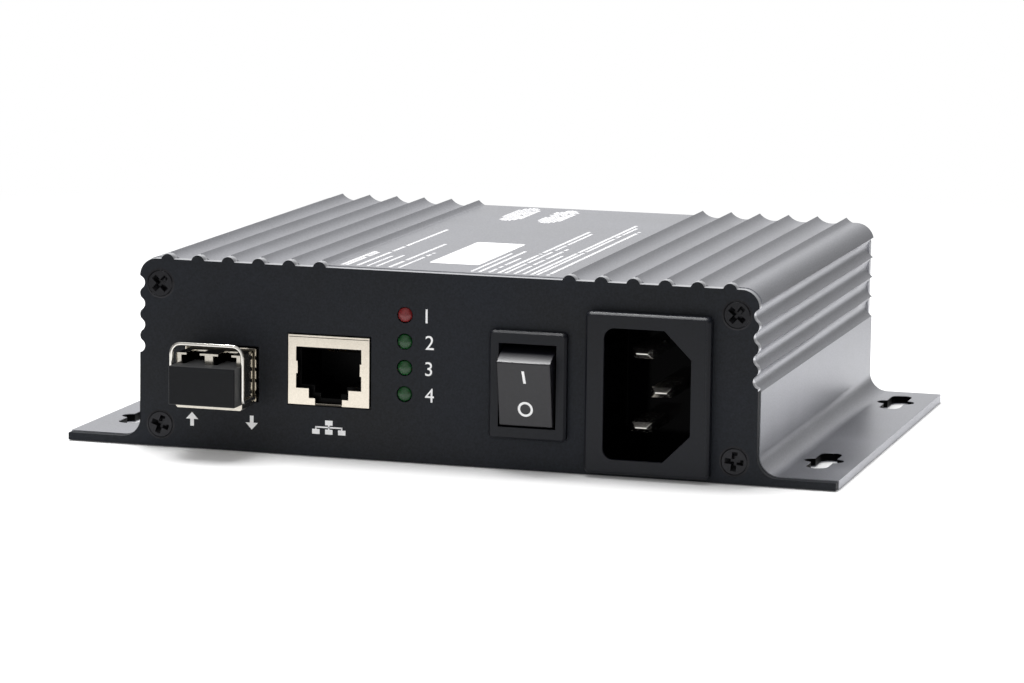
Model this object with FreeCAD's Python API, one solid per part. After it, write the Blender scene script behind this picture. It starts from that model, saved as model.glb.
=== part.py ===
import FreeCAD, Part
import math
import os

from FreeCAD import Vector

# Fibre media converter: a ribbed aluminium case with mounting ears, a black front plate,
# a plug-in optical transceiver with its bail and dust plug, a data jack, four lamps,
# a rocker switch and a mains inlet, with the circuit board and power supply inside.
#
# Millimetres. +X is right, +Z is up. Sizes below count Y from the front face of the front
# plate, growing towards the back; each shape is moved at export so that the origin lies
# at the middle of the case's underside.

# ------------------------------------------------------------------ driving sizes
# Case extrusion
body_width = 122.3
ear_span = 152.3
case_height = 37.75
case_length = 101.0
ear_thick = 1.75
ear_fillet = 3.8
case_wall = 1.85
side_wall = 1.25
rib_height = 1.0
rib_hollow = 0.4
bump_radius = 1.5
rib_edge = 5.85
rib_pitch = 6.145
rib_count = 6
groove_depth = 1.2
groove_drop = 5.95
groove_pitch = 4.1
groove_count = 4
corner_radius = 3.6

# Ear slots, a long arm along Y crossed by a short one along X
slot_width = 4.2
slot_long = 16.5
slot_short = 7.6
slot_ear_inset = 6.9
slot_front = 21.0
slot_back = 13.0

# End plates
plate_thick = 2.0
plate_inset = 0.15
wave_depth = 1.0
rear_thick = 1.5
rear_inset = 0.75
rear_corner = 3.5

# Case screws
screw_inset = 4.45
screw_low = 4.35
screw_drop = 5.85
screw_head = 5.4
screw_shank = 2.8
screw_length = 9.0
screw_cross = 3.2
screw_cross_width = 0.8
screw_cross_depth = 0.8
boss_radius = 2.7
screw_gap = 0.03

# Flats round a small bar, hole or wire, so that its faces stay few
small_sides = 14
wire_sides = 10

# Circuit board and its rails
board_top = 10.05
board_thick = 1.6
board_edge_gap = 0.3
board_end_gap = 0.4
board_rear_gap = 1.5
rail_reach = 2.2
rail_thick = 1.2
rail_gap = 0.2

# Optical cage
cage_edge = 16.95
cage_width = 14.0
cage_height = 9.8
cage_sheet = 0.3
cage_lift = 0.3
cage_proud = 0.7
cage_back = 48.0
collar_back = 6.0
collar_sheet = 0.2
collar_slit = 0.8
collar_slit_low = 1.6
collar_slit_pitch = 2.2
collar_slits_side = 3
collar_fingers_top = 6
pin_size = 0.7
pin_front = 8.0
pin_pitch = 9.5
pin_rows = 4
cutout_gap = 0.25

# Optical transceiver
nose_width = 13.4
nose_proud = 7.0
nose_gap = 0.25
nose_drop = 1.1
nose_rise = 0.3
nose_chamfer = 0.35
module_gap = 0.2
module_height = 8.5
module_back = 39.5
port_width = 4.75
port_pitch = 6.4
port_height = 6.4
port_roof = 0.4
port_depth = 11.5
latch_slot = 2.7
latch_slot_length = 4.4
barrel_radius = 2.0
barrel_bore = 0.65
module_wall = 0.9
module_board_thick = 1.0
module_board_length = 33.0
module_board_reach = 6.3

# Bail
bail_wire = 0.75
bail_leg = 7.2
bail_top = 22.1
bail_front = 8.1
bail_pivot_y = -1.8
bail_pivot_z = 11.0
bail_pivot_depth = 0.9
bail_corner = 2.0
pivot_gap = 0.05

# Dust plug
plug_width = 13.3
plug_height = 7.4
plug_bottom = 10.4
plug_proud = 11.1
plug_gap = 0.1
prong_gap = 0.22
prong_length = 6.4
plug_round = 0.3

# Edge connector
socket_width = 12.4
socket_height = 7.6
socket_length = 7.6
socket_slot_gap = 0.3

# Data jack
jack_from_cage = 21.7
jack_width = 16.3
jack_height = 13.45
jack_length = 21.0
jack_proud = 0.3
jack_sheet = 0.3
window_width = 13.05
window_height = 7.95
window_bottom = 3.2
window_step = 7.9
window_step_height = 1.85
window_notch = 5.4
window_tab = 0.3
window_tab_height = 2.4
jack_gap = 0.2
insert_recess = 1.2
mouth_width = 11.9
mouth_height = 7.0
mouth_depth = 13.0
mouth_step = 6.4
mouth_notch = 4.0
contact_count = 8
contact_pitch = 1.02
contact_thick = 0.4
contact_drop = 2.3

# Lamps
lamp_from_jack = 15.05
lamp_low = 13.2
lamp_pitch = 5.04
lamp_count = 4
lamp_radius = 1.45
lamp_proud = 0.6
lamp_length = 5.3
lamp_tip = 0.55
lamp_shoulder = 1.1
lamp_shoulder_back = 0.25
lamp_dome = 0.85
lamp_flange = 1.9
lamp_flange_thick = 1.0
lamp_gap = 0.08
lead_wire = 0.5
lead_spread = 1.27
lead_first = 2.0
lead_step = 2.2

# Rocker switch
switch_from_inlet = 23.3
switch_z = 16.4
switch_width = 15.1
switch_height = 20.6
switch_proud = 1.5
switch_body_width = 12.9
switch_body_height = 18.9
switch_body_back = 13.0
switch_opening_width = 11.2
switch_opening_height = 15.9
switch_pocket_height = 17.3
switch_pocket_back = 8.0
switch_round = 0.9
panel_gap = 0.1
rocker_width = 10.4
rocker_face = 12.4
rocker_shoulder = 14.5
rocker_bevel = 2.86
rocker_root = 15.0
rocker_reach = 7.7
rocker_back = 1.5
rocker_tilt = 10.3
rocker_pivot = 4.4
rocker_pin = 1.0
rocker_pin_length = 0.7
rocker_round = 0.35
blade_width = 4.8
blade_thick = 0.8
blade_length = 7.5
blade_spread = 7.0

# Mains inlet
inlet_edge = 20.75
inlet_z = 16.05
inlet_width = 24.0
inlet_height = 30.4
inlet_proud = 2.2
inlet_body_width = 19.8
inlet_body_height = 27.4
inlet_body_back = 18.5
inlet_round = 1.0
cavity_width = 16.7
cavity_height = 24.7
cavity_depth = 17.4
cavity_chamfer = 5.2
cavity_round = 2.0
pin_width = 4.0
pin_thick = 2.0
pin_recess = 5.2
earth_recess = 4.2
pin_spread = 14.0
earth_offset = 4.0
pin_line = -2.4
pin_tip = 0.9
terminal_length = 7.5

# Parts on the board
magnetics_size = (16.0, 12.5, 6.0)
magnetics_y = 25.0
chip_size = (14.0, 14.0, 1.4)
chip_y = 52.0
crystal_size = (5.0, 3.2, 1.2)
header_size = (11.0, 6.0, 9.0)
fuse_radius = 2.6
fuse_length = 15.0
bulk_radius = 5.0
bulk_length = 19.0
smoothing_radius = 4.0
smoothing_height = 12.0
smoothing_count = 2
smoothing_pitch = 10.0
core_size = (20.0, 16.0, 16.0)
core_leg = 4.2
coil_radius = 5.6
coil_flange = 0.8
rectifier_size = (8.0, 6.4, 3.0)

# Room for the mains leads behind the inlet
lead_bend = 3.0

# ------------------------------------------------------------------ places worked out
body_half = body_width / 2
ear_half = ear_span / 2
valley_z = case_height - rib_height
case_front = plate_thick
case_back = plate_thick + case_length
whole_depth = case_back + rear_thick
inner_half = body_half - groove_depth - side_wall
hollow_sag = rib_height + rib_hollow
hollow_radius = (rib_pitch ** 2 / 4 + hollow_sag ** 2) / (2 * hollow_sag)
hollow_reach = math.sqrt(hollow_radius ** 2 - (hollow_radius - rib_hollow) ** 2)
rib_foot = rib_pitch / 2 - hollow_reach
ceiling_z = valley_z - case_wall
screw_x = body_half - screw_inset
screw_high = case_height - screw_drop
board_bottom = board_top - board_thick
board_half = inner_half - board_edge_gap
board_front = case_front + board_end_gap
board_back = case_back - board_rear_gap
cage_x = cage_edge - body_half
cage_z = board_top + cage_lift
cage_top = cage_z + cage_height
nose_back = -cage_proud - nose_gap
nose_bottom = cage_z - nose_drop
nose_top = cage_top - nose_rise
module_half = cage_width / 2 - cage_sheet - module_gap
module_z = cage_z + (cage_height - module_height) / 2
port_top = nose_top - port_roof
port_bottom = port_top - port_height
port_axis_z = port_bottom + port_width / 2
jack_x = cage_x + jack_from_cage
jack_front = -jack_proud
mouth_front = jack_front + jack_sheet
mouth_back = mouth_front + mouth_depth
lamp_x = jack_x + lamp_from_jack
inlet_x = body_half - inlet_edge
switch_x = inlet_x - switch_from_inlet
cavity_back = cavity_depth - inlet_proud
line_pin_x = inlet_x + pin_line
earth_pin_x = line_pin_x + earth_offset
supply_x = (switch_x + inner_half) / 2


# ------------------------------------------------------------------ shape helpers
def box(x0, x1, y0, y1, z0, z1):
    """Block between two corners."""
    return Part.makeBox(x1 - x0, y1 - y0, z1 - z0, Vector(x0, y0, z0))


def centred(x, z, width, height, y0, y1):
    """Block centred on a panel place, running from y0 to y1."""
    return box(x - width / 2, x + width / 2, y0, y1, z - height / 2, z + height / 2)


def rod(radius, start, axis, length):
    """Round bar from a start point along an axis."""
    return Part.makeCylinder(radius, length, Vector(*start), Vector(*axis))


def group(solids):
    """Separate solids kept together in one node."""
    return Part.makeCompound(solids)


def fused(solids):
    """One solid out of several, with its seams cleaned away."""
    whole = solids[0].multiFuse(solids[1:])
    return whole.removeSplitter()


def round_edges(solid, radius, wanted):
    """Fillet the edges that the test picks."""
    edges = [edge for edge in solid.Edges if wanted(edge)]
    return solid.makeFillet(radius, edges)


def chamfer_edges(solid, size, wanted):
    """Bevel the edges that the test picks."""
    edges = [edge for edge in solid.Edges if wanted(edge)]
    return solid.makeChamfer(size, edges)


def ring(radius, centre, axis, sides):
    """Corners of a many-sided circle about an axis."""
    across = axis.cross(Vector(axis.y, axis.z, axis.x)).normalize()
    upright = axis.cross(across)
    corners = []
    for index in range(sides):
        angle = 2 * math.pi * (index + 0.5) / sides
        corners.append(centre + (across * math.cos(angle) + upright * math.sin(angle)) * radius)
    return corners


def turned(profile, start, axis):
    """Few-sided turned solid; the profile lists distance and radius along the axis."""
    axis = Vector(*axis)
    rings = [
        ring(radius, Vector(*start) + axis * distance, axis, small_sides)
        for distance, radius in profile
    ]
    outlines = [rings[0], rings[-1]]
    for near, far in zip(rings, rings[1:]):
        for index in range(small_sides):
            after = (index + 1) % small_sides
            outlines.append([near[index], near[after], far[after], far[index]])
    faces = [Part.Face(Part.makePolygon(corners + corners[:1])) for corners in outlines]
    return Part.Solid(Part.makeShell(faces)).removeSplitter()


def runs_along(edge, axis):
    """True for a straight edge parallel to a row axis (0, 1 or 2)."""
    if edge.Curve.TypeId != "Part::GeomLine":
        return False
    direction = edge.Curve.Direction
    return abs(abs(direction[axis]) - 1) < 1e-6


def lies_at_y(edge, y):
    """True for an edge that lies wholly at one depth."""
    return abs(edge.BoundBox.YMin - y) < 1e-6 and abs(edge.BoundBox.YMax - y) < 1e-6


class Outline:
    """Closed outline in an XZ plane, drawn as lines and three-point arcs."""

    def __init__(self, x, z):
        self.start = Vector(x, 0, z)
        self.at = self.start
        self.edges = []

    def line(self, x, z):
        """Straight run to a point."""
        end = Vector(x, 0, z)
        self.edges.append(Part.LineSegment(self.at, end).toShape())
        self.at = end

    def arc(self, mid_x, mid_z, x, z):
        """Arc through a middle point to an end point."""
        end = Vector(x, 0, z)
        self.edges.append(Part.Arc(self.at, Vector(mid_x, 0, mid_z), end).toShape())
        self.at = end

    def slab(self, y0, y1):
        """Close the outline and extrude it between two depths."""
        if self.at.distanceToPoint(self.start) > 1e-7:
            self.line(self.start.x, self.start.z)
        face = Part.Face(Part.Wire(self.edges))
        face.translate(Vector(0, y0, 0))
        return face.extrude(Vector(0, y1 - y0, 0))

    def mirrored_slab(self, y0, y1):
        """Close the outline with its mirror image about X = 0 and extrude it."""
        other = [edge.mirror(Vector(0, 0, 0), Vector(1, 0, 0)) for edge in self.edges]
        wire = Part.Wire(Part.__sortEdges__(self.edges + other))
        face = Part.Face(wire)
        face.translate(Vector(0, y0, 0))
        return face.extrude(Vector(0, y1 - y0, 0))


def polygon_slab(points, y0, y1):
    """Straight-sided outline in XZ, extruded along Y."""
    outline = Outline(*points[0])
    for x, z in points[1:]:
        outline.line(x, z)
    return outline.slab(y0, y1)


def round_box(x, z, width, height, y0, y1, radius):
    """Block on a panel place with its four long corners rounded."""
    block = centred(x, z, width, height, y0, y1)
    return round_edges(block, radius, lambda edge: runs_along(edge, 1))


def bent_wire(points, bends, radius):
    """Wire of a few flats along straight runs; a bend of zero leaves a mitred corner."""
    edges = []
    at = Vector(*points[0])
    for index, size in enumerate(bends):
        corner = Vector(*points[index + 1])
        if not size:
            edges.append(Part.LineSegment(at, corner).toShape())
            at = corner
            continue
        back = (Vector(*points[index]) - corner).normalize()
        ahead = (Vector(*points[index + 2]) - corner).normalize()
        half = back.getAngle(ahead) / 2
        centre = corner + (back + ahead).normalize() * (size / math.sin(half))
        first = corner + back * (size / math.tan(half))
        last = corner + ahead * (size / math.tan(half))
        middle = centre + (corner - centre).normalize() * size
        edges.append(Part.LineSegment(at, first).toShape())
        edges.append(Part.Arc(first, middle, last).toShape())
        at = last
    edges.append(Part.LineSegment(at, Vector(*points[-1])).toShape())
    start = Vector(*points[0])
    axis = (Vector(*points[1]) - start).normalize()
    corners = ring(radius, start, axis, wire_sides)
    section = Part.makePolygon(corners + corners[:1])
    return Part.Wire(edges).makePipeShell([section], True, False, 1)


# ------------------------------------------------------------------ case
def rib_places():
    """X of each rib on the right half, outermost first."""
    first = body_half - rib_edge
    return [first - index * rib_pitch for index in range(rib_count)]


def groove_places():
    """Z of each side groove, lowest first."""
    highest = case_height - groove_drop
    return [highest - index * groove_pitch for index in reversed(range(groove_count))]


def ear_outline(inset):
    """Start of a half section: base, ear and the hollow curve up to the side wall."""
    outline = Outline(0, inset)
    outline.line(ear_half - inset, inset)
    outline.line(ear_half - inset, ear_thick - inset)
    centre_x = body_half + ear_fillet
    centre_z = ear_thick + ear_fillet
    reach = (ear_fillet + inset) * math.sqrt(0.5)
    outline.line(centre_x, ear_thick - inset)
    outline.arc(centre_x - reach, centre_z - reach, body_half - inset, centre_z)
    return outline


def case_outline():
    """Right half of the case's section: scalloped side and pointed ribs with hollows between."""
    outline = ear_outline(0)
    half = groove_pitch / 2
    outline.line(body_half, groove_places()[0] - half)
    for z in groove_places():
        outline.arc(body_half - groove_depth, z, body_half, z + half)
    add_corner(outline, 0)
    first, *others = rib_places()
    outline.line(first + rib_foot, valley_z)
    add_flank(outline, first, first)
    for x in others:
        outline.arc(x + rib_pitch / 2, valley_z - rib_hollow, x, case_height)
    last = rib_places()[-1]
    add_flank(outline, last, last - rib_foot)
    outline.line(0, valley_z)
    return outline


def plate_outline():
    """Right half of the front plate: wavy side edge and a round bump over each rib."""
    outline = ear_outline(plate_inset)
    side = body_half - plate_inset
    middle = side - wave_depth / 2
    quarter = groove_pitch / 4
    lowest, *others = groove_places()
    outline.line(side, lowest - 1.25 * quarter)
    outline.line(middle, lowest - quarter)
    outline.arc(side - wave_depth, lowest, middle, lowest + quarter)
    for z in others:
        outline.arc(side, z - 2 * quarter, middle, z - quarter)
        outline.arc(side - wave_depth, z, middle, z + quarter)
    outline.line(side, valley_z - corner_radius)
    add_corner(outline, plate_inset)
    for x in rib_places():
        add_bump(outline, x)
    outline.line(0, valley_z - plate_inset)
    return outline


def add_corner(outline, inset):
    """Round corner from the side up to the level between the ribs."""
    radius = corner_radius - inset
    centre_x = body_half - corner_radius
    centre_z = valley_z - corner_radius
    angle = math.asin((outline.at.z - centre_z) / radius)
    middle = (angle + math.pi / 2) / 2
    outline.arc(
        centre_x + radius * math.cos(middle),
        centre_z + radius * math.sin(middle),
        centre_x,
        valley_z - inset,
    )


def add_flank(outline, crest, x):
    """Hollow flank between a rib's crest and the flat beside it, drawn to an X."""
    middle = (outline.at.x + x) / 2
    outline.arc(middle, flank_z(middle - crest), x, flank_z(x - crest))


def flank_z(reach):
    """Height of a hollow flank at a distance from its crest."""
    across = rib_pitch / 2 - abs(reach)
    return valley_z - rib_hollow + hollow_radius - math.sqrt(hollow_radius ** 2 - across ** 2)


def add_bump(outline, x):
    """Round bump on the plate's top edge."""
    radius = bump_radius - plate_inset
    half = math.sqrt(radius ** 2 - (bump_radius - rib_height - plate_inset) ** 2)
    outline.line(x + half, valley_z - plate_inset)
    outline.arc(x, case_height - plate_inset, x - half, valley_z - plate_inset)


def screw_places():
    """Panel places of the four case screws."""
    return [(x, z) for x in (-screw_x, screw_x) for z in (screw_low, screw_high)]


def screw_boss(x, z):
    """Screw channel in an inner corner, joined to both walls."""
    side = math.copysign(1, x)
    wall_z = ceiling_z + case_wall / 2 if z > case_height / 2 else case_wall / 2
    wall_x = side * (inner_half + side_wall / 2)
    fill = box(
        min(x, wall_x),
        max(x, wall_x),
        case_front,
        case_back,
        min(z, wall_z),
        max(z, wall_z),
    )
    barrel = channel(boss_radius, x, z)
    return fill.fuse(barrel)


def channel(radius, x, z):
    """Few-sided bar along the whole case at a screw's place."""
    return turned([(0, radius), (case_length, radius)], (x, case_front, z), (0, 1, 0))


def board_rails(side):
    """Pair of rails that hold the board's edge."""
    near = side * (inner_half - rail_reach)
    far = side * (inner_half + side_wall / 2)
    low, high = min(near, far), max(near, far)
    below = box(low, high, case_front, case_back, board_bottom - rail_thick, board_bottom)
    above_z = board_top + rail_gap
    above = box(low, high, case_front, case_back, above_z, above_z + rail_thick)
    return [below, above]


def stadium(x, y, size_x, size_y, z0, z1):
    """Upright slot cutter with round ends along its longer side."""
    width = min(size_x, size_y)
    run_x = (size_x - width) / 2
    run_y = (size_y - width) / 2
    height = z1 - z0
    bar_x = max(size_x - width, 0) or width
    bar_y = max(size_y - width, 0) or width
    bar = box(x - bar_x / 2, x + bar_x / 2, y - bar_y / 2, y + bar_y / 2, z0, z1)
    ends = [
        rod(width / 2, (x - run_x, y - run_y, z0), (0, 0, 1), height),
        rod(width / 2, (x + run_x, y + run_y, z0), (0, 0, 1), height),
    ]
    return bar.multiFuse(ends)


def ear_slots():
    """Cross-shaped slots in both ears, near each end."""
    cutters = []
    top = ear_thick + ear_fillet
    for side in (-1, 1):
        x = side * (ear_half - slot_ear_inset)
        for y in (slot_front, case_back - slot_back):
            cutters.append(stadium(x, y, slot_width, slot_long, 0, top))
            cutters.append(stadium(x, y, slot_short, slot_width, 0, top))
    return cutters


def housing():
    """Case extrusion with its inner rails, screw channels and slotted ears."""
    shell = case_outline().mirrored_slab(case_front, case_back)
    hollow = box(-inner_half, inner_half, case_front, case_back, case_wall, ceiling_z)
    shell = shell.cut(hollow)
    inner = board_rails(-1) + board_rails(1)
    inner += [screw_boss(x, z) for x, z in screw_places()]
    shell = shell.multiFuse(inner)
    holes = [channel(screw_shank / 2 + screw_gap, x, z) for x, z in screw_places()]
    return shell.cut(holes + ear_slots()).removeSplitter()


# ------------------------------------------------------------------ end plates and screws
def screw_hole(x, z, face_y, inward, depth):
    """Countersunk hole cutter whose mouth is at face_y."""
    head = screw_head / 2 + screw_gap
    shank = screw_shank / 2 + screw_gap
    profile = [(0, head), (head - shank, shank), (depth, shank)]
    return turned(profile, (x, face_y, z), (0, inward, 0))


def case_screw(x, z, face_y, inward):
    """Countersunk screw with a cross recess in its head."""
    head = screw_head / 2
    shank = screw_shank / 2
    profile = [(0, head), (head - shank, shank), (screw_length, shank)]
    body = turned(profile, (x, face_y, z), (0, inward, 0))
    reach = inward * screw_cross_depth
    low, high = min(face_y, face_y + reach), max(face_y, face_y + reach)
    across = centred(x, z, screw_cross, screw_cross_width, low, high)
    upright = centred(x, z, screw_cross_width, screw_cross, low, high)
    cross = across.fuse(upright).removeSplitter()
    cross.rotate(Vector(x, face_y, z), Vector(0, 1, 0), 45)
    return body.cut(cross)


def front_plate():
    """Front plate: the case's section, with the openings for everything on the panel."""
    plate = plate_outline().mirrored_slab(0, plate_thick)
    cage_z_mid = cage_z + cage_height / 2
    collar = 2 * (collar_sheet + cutout_gap)
    jack_z = board_top + jack_height / 2
    jack = 2 * jack_gap
    lamp_hole = [(0, lamp_radius + lamp_gap), (plate_thick, lamp_radius + lamp_gap)]
    cutters = [
        centred(cage_x, cage_z_mid, cage_width + collar, cage_height + collar, 0, plate_thick),
        centred(jack_x, jack_z, jack_width + jack, jack_height + jack, 0, plate_thick),
        centred(
            switch_x,
            switch_z,
            switch_body_width + panel_gap,
            switch_body_height + panel_gap,
            0,
            plate_thick,
        ),
        centred(
            inlet_x,
            inlet_z,
            inlet_body_width + panel_gap,
            inlet_body_height + panel_gap,
            0,
            plate_thick,
        ),
    ]
    cutters += [turned(lamp_hole, (lamp_x, 0, z), (0, 1, 0)) for z in lamp_places()]
    cutters += [screw_hole(x, z, 0, 1, plate_thick) for x, z in screw_places()]
    return plate.cut(cutters)


def rear_plate():
    """Plain rear plate, set in from the case's edges."""
    height = valley_z - 2 * rear_inset
    width = body_width - 2 * rear_inset
    plate = round_box(0, valley_z / 2, width, height, case_back, whole_depth, rear_corner)
    holes = [screw_hole(x, z, whole_depth, -1, rear_thick) for x, z in screw_places()]
    return plate.cut(holes)


def front_screws():
    """Four screws of the front plate."""
    return group([case_screw(x, z, 0, 1) for x, z in screw_places()])


def rear_screws():
    """Four screws of the rear plate."""
    return group([case_screw(x, z, whole_depth, -1) for x, z in screw_places()])


# ------------------------------------------------------------------ board
def main_board():
    """Board in the side rails, cut back behind the switch and the inlet."""
    split_x = (lamp_x + lamp_flange + switch_x - switch_width / 2) / 2
    left = box(-board_half, split_x, board_front, board_back, board_bottom, board_top)
    right = box(split_x, board_half, supply_front(), board_back, board_bottom, board_top)
    board = left.fuse(right)
    half = pin_size / 2 + cutout_gap
    holes = [
        box(x - half, x + half, y - half, y + half, board_bottom, board_top)
        for x, y in cage_pin_places()
    ]
    return board.cut(holes).removeSplitter()


def supply_front():
    """Y where the board starts behind the inlet."""
    return inlet_body_back + terminal_length + 2 * lead_bend


# ------------------------------------------------------------------ optical cage
def cage_pin_places():
    """Places of the cage's board pins."""
    reach = cage_width / 2 - cage_sheet / 2
    rows = [case_front + pin_front + index * pin_pitch for index in range(pin_rows)]
    return [(cage_x + side * reach, y) for side in (-1, 1) for y in rows]


def sfp_cage():
    """Folded metal cage, open at the front and cut out over the edge connector."""
    middle = cage_z + cage_height / 2
    outer = centred(cage_x, middle, cage_width, cage_height, -cage_proud, cage_back)
    inner = centred(
        cage_x,
        middle,
        cage_width - 2 * cage_sheet,
        cage_height - 2 * cage_sheet,
        -cage_proud,
        cage_back - cage_sheet,
    )
    shell = outer.cut(inner)
    floor_cut = box(
        cage_x - socket_width / 2 - cage_sheet,
        cage_x + socket_width / 2 + cage_sheet,
        cage_back - socket_length - 4 * cage_sheet,
        cage_back - cage_sheet,
        cage_z,
        cage_z + cage_sheet,
    )
    shell = shell.cut(floor_cut)
    pins = [
        box(
            x - cage_sheet / 2,
            x + cage_sheet / 2,
            y - pin_size / 2,
            y + pin_size / 2,
            board_bottom,
            cage_z + cage_sheet,
        )
        for x, y in cage_pin_places()
    ]
    return fused([shell] + pins)


def cage_collar():
    """Spring collar round the cage's mouth, slit into fingers on all four sides."""
    middle = cage_z + cage_height / 2
    front = -cage_proud
    outer = centred(
        cage_x,
        middle,
        cage_width + 2 * collar_sheet,
        cage_height + 2 * collar_sheet,
        front,
        collar_back,
    )
    collar = outer.cut(centred(cage_x, middle, cage_width, cage_height, front, collar_back))
    slit_end = collar_back - 3 * collar_sheet
    slits = []
    for index in range(collar_slits_side):
        z = cage_z + collar_slit_low + index * collar_slit_pitch
        wide = cage_width + 4 * collar_sheet
        slits.append(centred(cage_x, z, wide, collar_slit, front + 2 * collar_sheet, slit_end))
    top_pitch = cage_width / collar_fingers_top
    for index in range(1, collar_fingers_top):
        x = cage_x - cage_width / 2 + index * top_pitch
        tall = cage_height + 4 * collar_sheet
        slits.append(centred(x, middle, collar_slit, tall, front + 2 * collar_sheet, slit_end))
    return collar.cut(slits)


def edge_connector():
    """Board connector at the back of the cage, slotted for the module's edge."""
    back = cage_back - 2 * cage_sheet
    front = back - socket_length
    body = box(
        cage_x - socket_width / 2,
        cage_x + socket_width / 2,
        front,
        back,
        board_top,
        board_top + socket_height,
    )
    slot = centred(
        cage_x,
        module_board_z(),
        socket_width - 4 * cage_sheet,
        module_board_thick + 2 * socket_slot_gap,
        front,
        module_back + module_board_reach + socket_slot_gap,
    )
    return body.cut(slot)


# ------------------------------------------------------------------ optical transceiver
def port_places():
    """X of the two fibre ports."""
    return [cage_x - port_pitch / 2, cage_x + port_pitch / 2]


def module_board_z():
    """Middle height of the module's own board."""
    return board_top + socket_height / 2


def transceiver_body():
    """Cast body: a nose with two fibre ports, and the long part that fills the cage."""
    nose = box(
        cage_x - nose_width / 2,
        cage_x + nose_width / 2,
        -nose_proud,
        nose_back,
        nose_bottom,
        nose_top,
    )
    nose = chamfer_edges(nose, nose_chamfer, lambda edge: runs_along(edge, 1))
    tail = box(
        cage_x - module_half,
        cage_x + module_half,
        nose_back,
        module_back,
        module_z,
        module_z + module_height,
    )
    body = nose.fuse(tail)
    half = port_width / 2
    neck_top = port_axis_z + half
    port_back = port_depth - nose_proud
    cavity_front = port_back + module_wall
    cutters = []
    for x in port_places():
        cutters.append(box(x - half, x + half, -nose_proud, nose_back, port_bottom, port_top))
        cutters.append(box(x - half, x + half, nose_back, port_back, port_bottom, neck_top))
        slot = latch_slot / 2
        slot_back = latch_slot_length - nose_proud
        cutters.append(box(x - slot, x + slot, -nose_proud, slot_back, port_top, nose_top))
        cutters.append(rod(barrel_radius, (x, port_back, port_axis_z), (0, 1, 0), module_wall))
    cutters.append(
        box(
            cage_x - module_half + module_wall,
            cage_x + module_half - module_wall,
            cavity_front,
            module_back,
            module_z + module_wall,
            module_z + module_height - module_wall,
        )
    )
    reach = nose_width / 2 - bail_pivot_depth
    for side in (-1, 1):
        start = (cage_x + side * reach, bail_pivot_y, bail_pivot_z)
        hole = rod(bail_wire / 2 + pivot_gap, start, (side, 0, 0), bail_pivot_depth)
        cutters.append(hole)
    return body.cut(cutters).removeSplitter()


def fibre_barrels():
    """Sender and receiver barrels behind the ports, each with its fibre bore."""
    port_back = port_depth - nose_proud
    length = 2 * barrel_radius + module_wall
    barrels = []
    for x in port_places():
        start = (x, port_back, port_axis_z)
        barrel = rod(barrel_radius, start, (0, 1, 0), length)
        bore = turned([(0, barrel_bore), (2 * barrel_radius, barrel_bore)], start, (0, 1, 0))
        barrels.append(barrel.cut(bore))
    return group(barrels)


def module_board():
    """Board inside the transceiver, whose rear edge plugs into the edge connector."""
    z = module_board_z()
    front = module_back + module_board_reach - module_board_length
    inner = 2 * (module_half - module_wall - module_gap / 2)
    wide = centred(cage_x, z, inner, module_board_thick, front, module_back - module_gap)
    tongue_width = socket_width - 4 * cage_sheet - 2 * socket_slot_gap
    tongue = centred(
        cage_x,
        z,
        tongue_width,
        module_board_thick,
        front,
        module_back + module_board_reach,
    )
    return wide.fuse(tongue).removeSplitter()


def bail_latch():
    """Bent wire bail: pivots at the nose's heel, stands round it and crosses above."""
    reach = nose_width / 2 - bail_pivot_depth + pivot_gap
    half = []
    for side in (-1, 1):
        leg = cage_x + side * bail_leg
        half.append(
            [
                (cage_x + side * reach, bail_pivot_y, bail_pivot_z),
                (leg, bail_pivot_y, bail_pivot_z),
                (leg, -bail_front, bail_pivot_z),
                (leg, -bail_front, bail_top),
            ]
        )
    points = half[0] + half[1][::-1]
    return bent_wire(points, [0, 0, bail_corner, bail_corner, 0, 0], bail_wire / 2)


def dust_plug():
    """Black plug: a block between the bail's legs with a prong in each port."""
    block = box(
        cage_x - plug_width / 2,
        cage_x + plug_width / 2,
        -plug_proud,
        -nose_proud - plug_gap,
        plug_bottom,
        plug_bottom + plug_height,
    )
    block = round_edges(block, plug_round, lambda edge: lies_at_y(edge, -plug_proud))
    prong = port_width - 2 * prong_gap
    prongs = [
        centred(
            x,
            port_axis_z,
            prong,
            prong,
            -nose_proud - plug_gap,
            prong_length - nose_proud,
        )
        for x in port_places()
    ]
    return fused([block] + prongs)


# ------------------------------------------------------------------ data jack
def jack_steps(x, z, widths, heights, y0, y1):
    """Stepped opening cutter: widths and heights from the main window downwards."""
    cutters = []
    top = z
    for width, height in zip(widths, heights):
        cutters.append(box(x - width / 2, x + width / 2, y0, y1, top - height, top))
        top -= height
    return cutters


def jack_shield():
    """Folded shield of the data jack with its stepped window."""
    middle = board_top + jack_height / 2
    back = jack_length - jack_proud
    outer = centred(jack_x, middle, jack_width, jack_height, jack_front, back)
    inner = centred(
        jack_x,
        middle,
        jack_width - 2 * jack_sheet,
        jack_height - 2 * jack_sheet,
        mouth_front,
        back - jack_sheet,
    )
    top = board_top + window_bottom + window_height
    notch = window_bottom - window_step_height
    window = jack_steps(
        jack_x,
        top,
        (window_width, window_step, window_notch),
        (window_height, window_step_height, notch),
        jack_front,
        mouth_front,
    )
    shield = outer.cut([inner] + window)
    tab_z = top - window_height / 2
    reach = (window_width - window_tab) / 2
    tabs = [
        centred(jack_x + side * reach, tab_z, window_tab, window_tab_height, jack_front, mouth_front)
        for side in (-1, 1)
    ]
    return fused([shield] + tabs)


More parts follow.
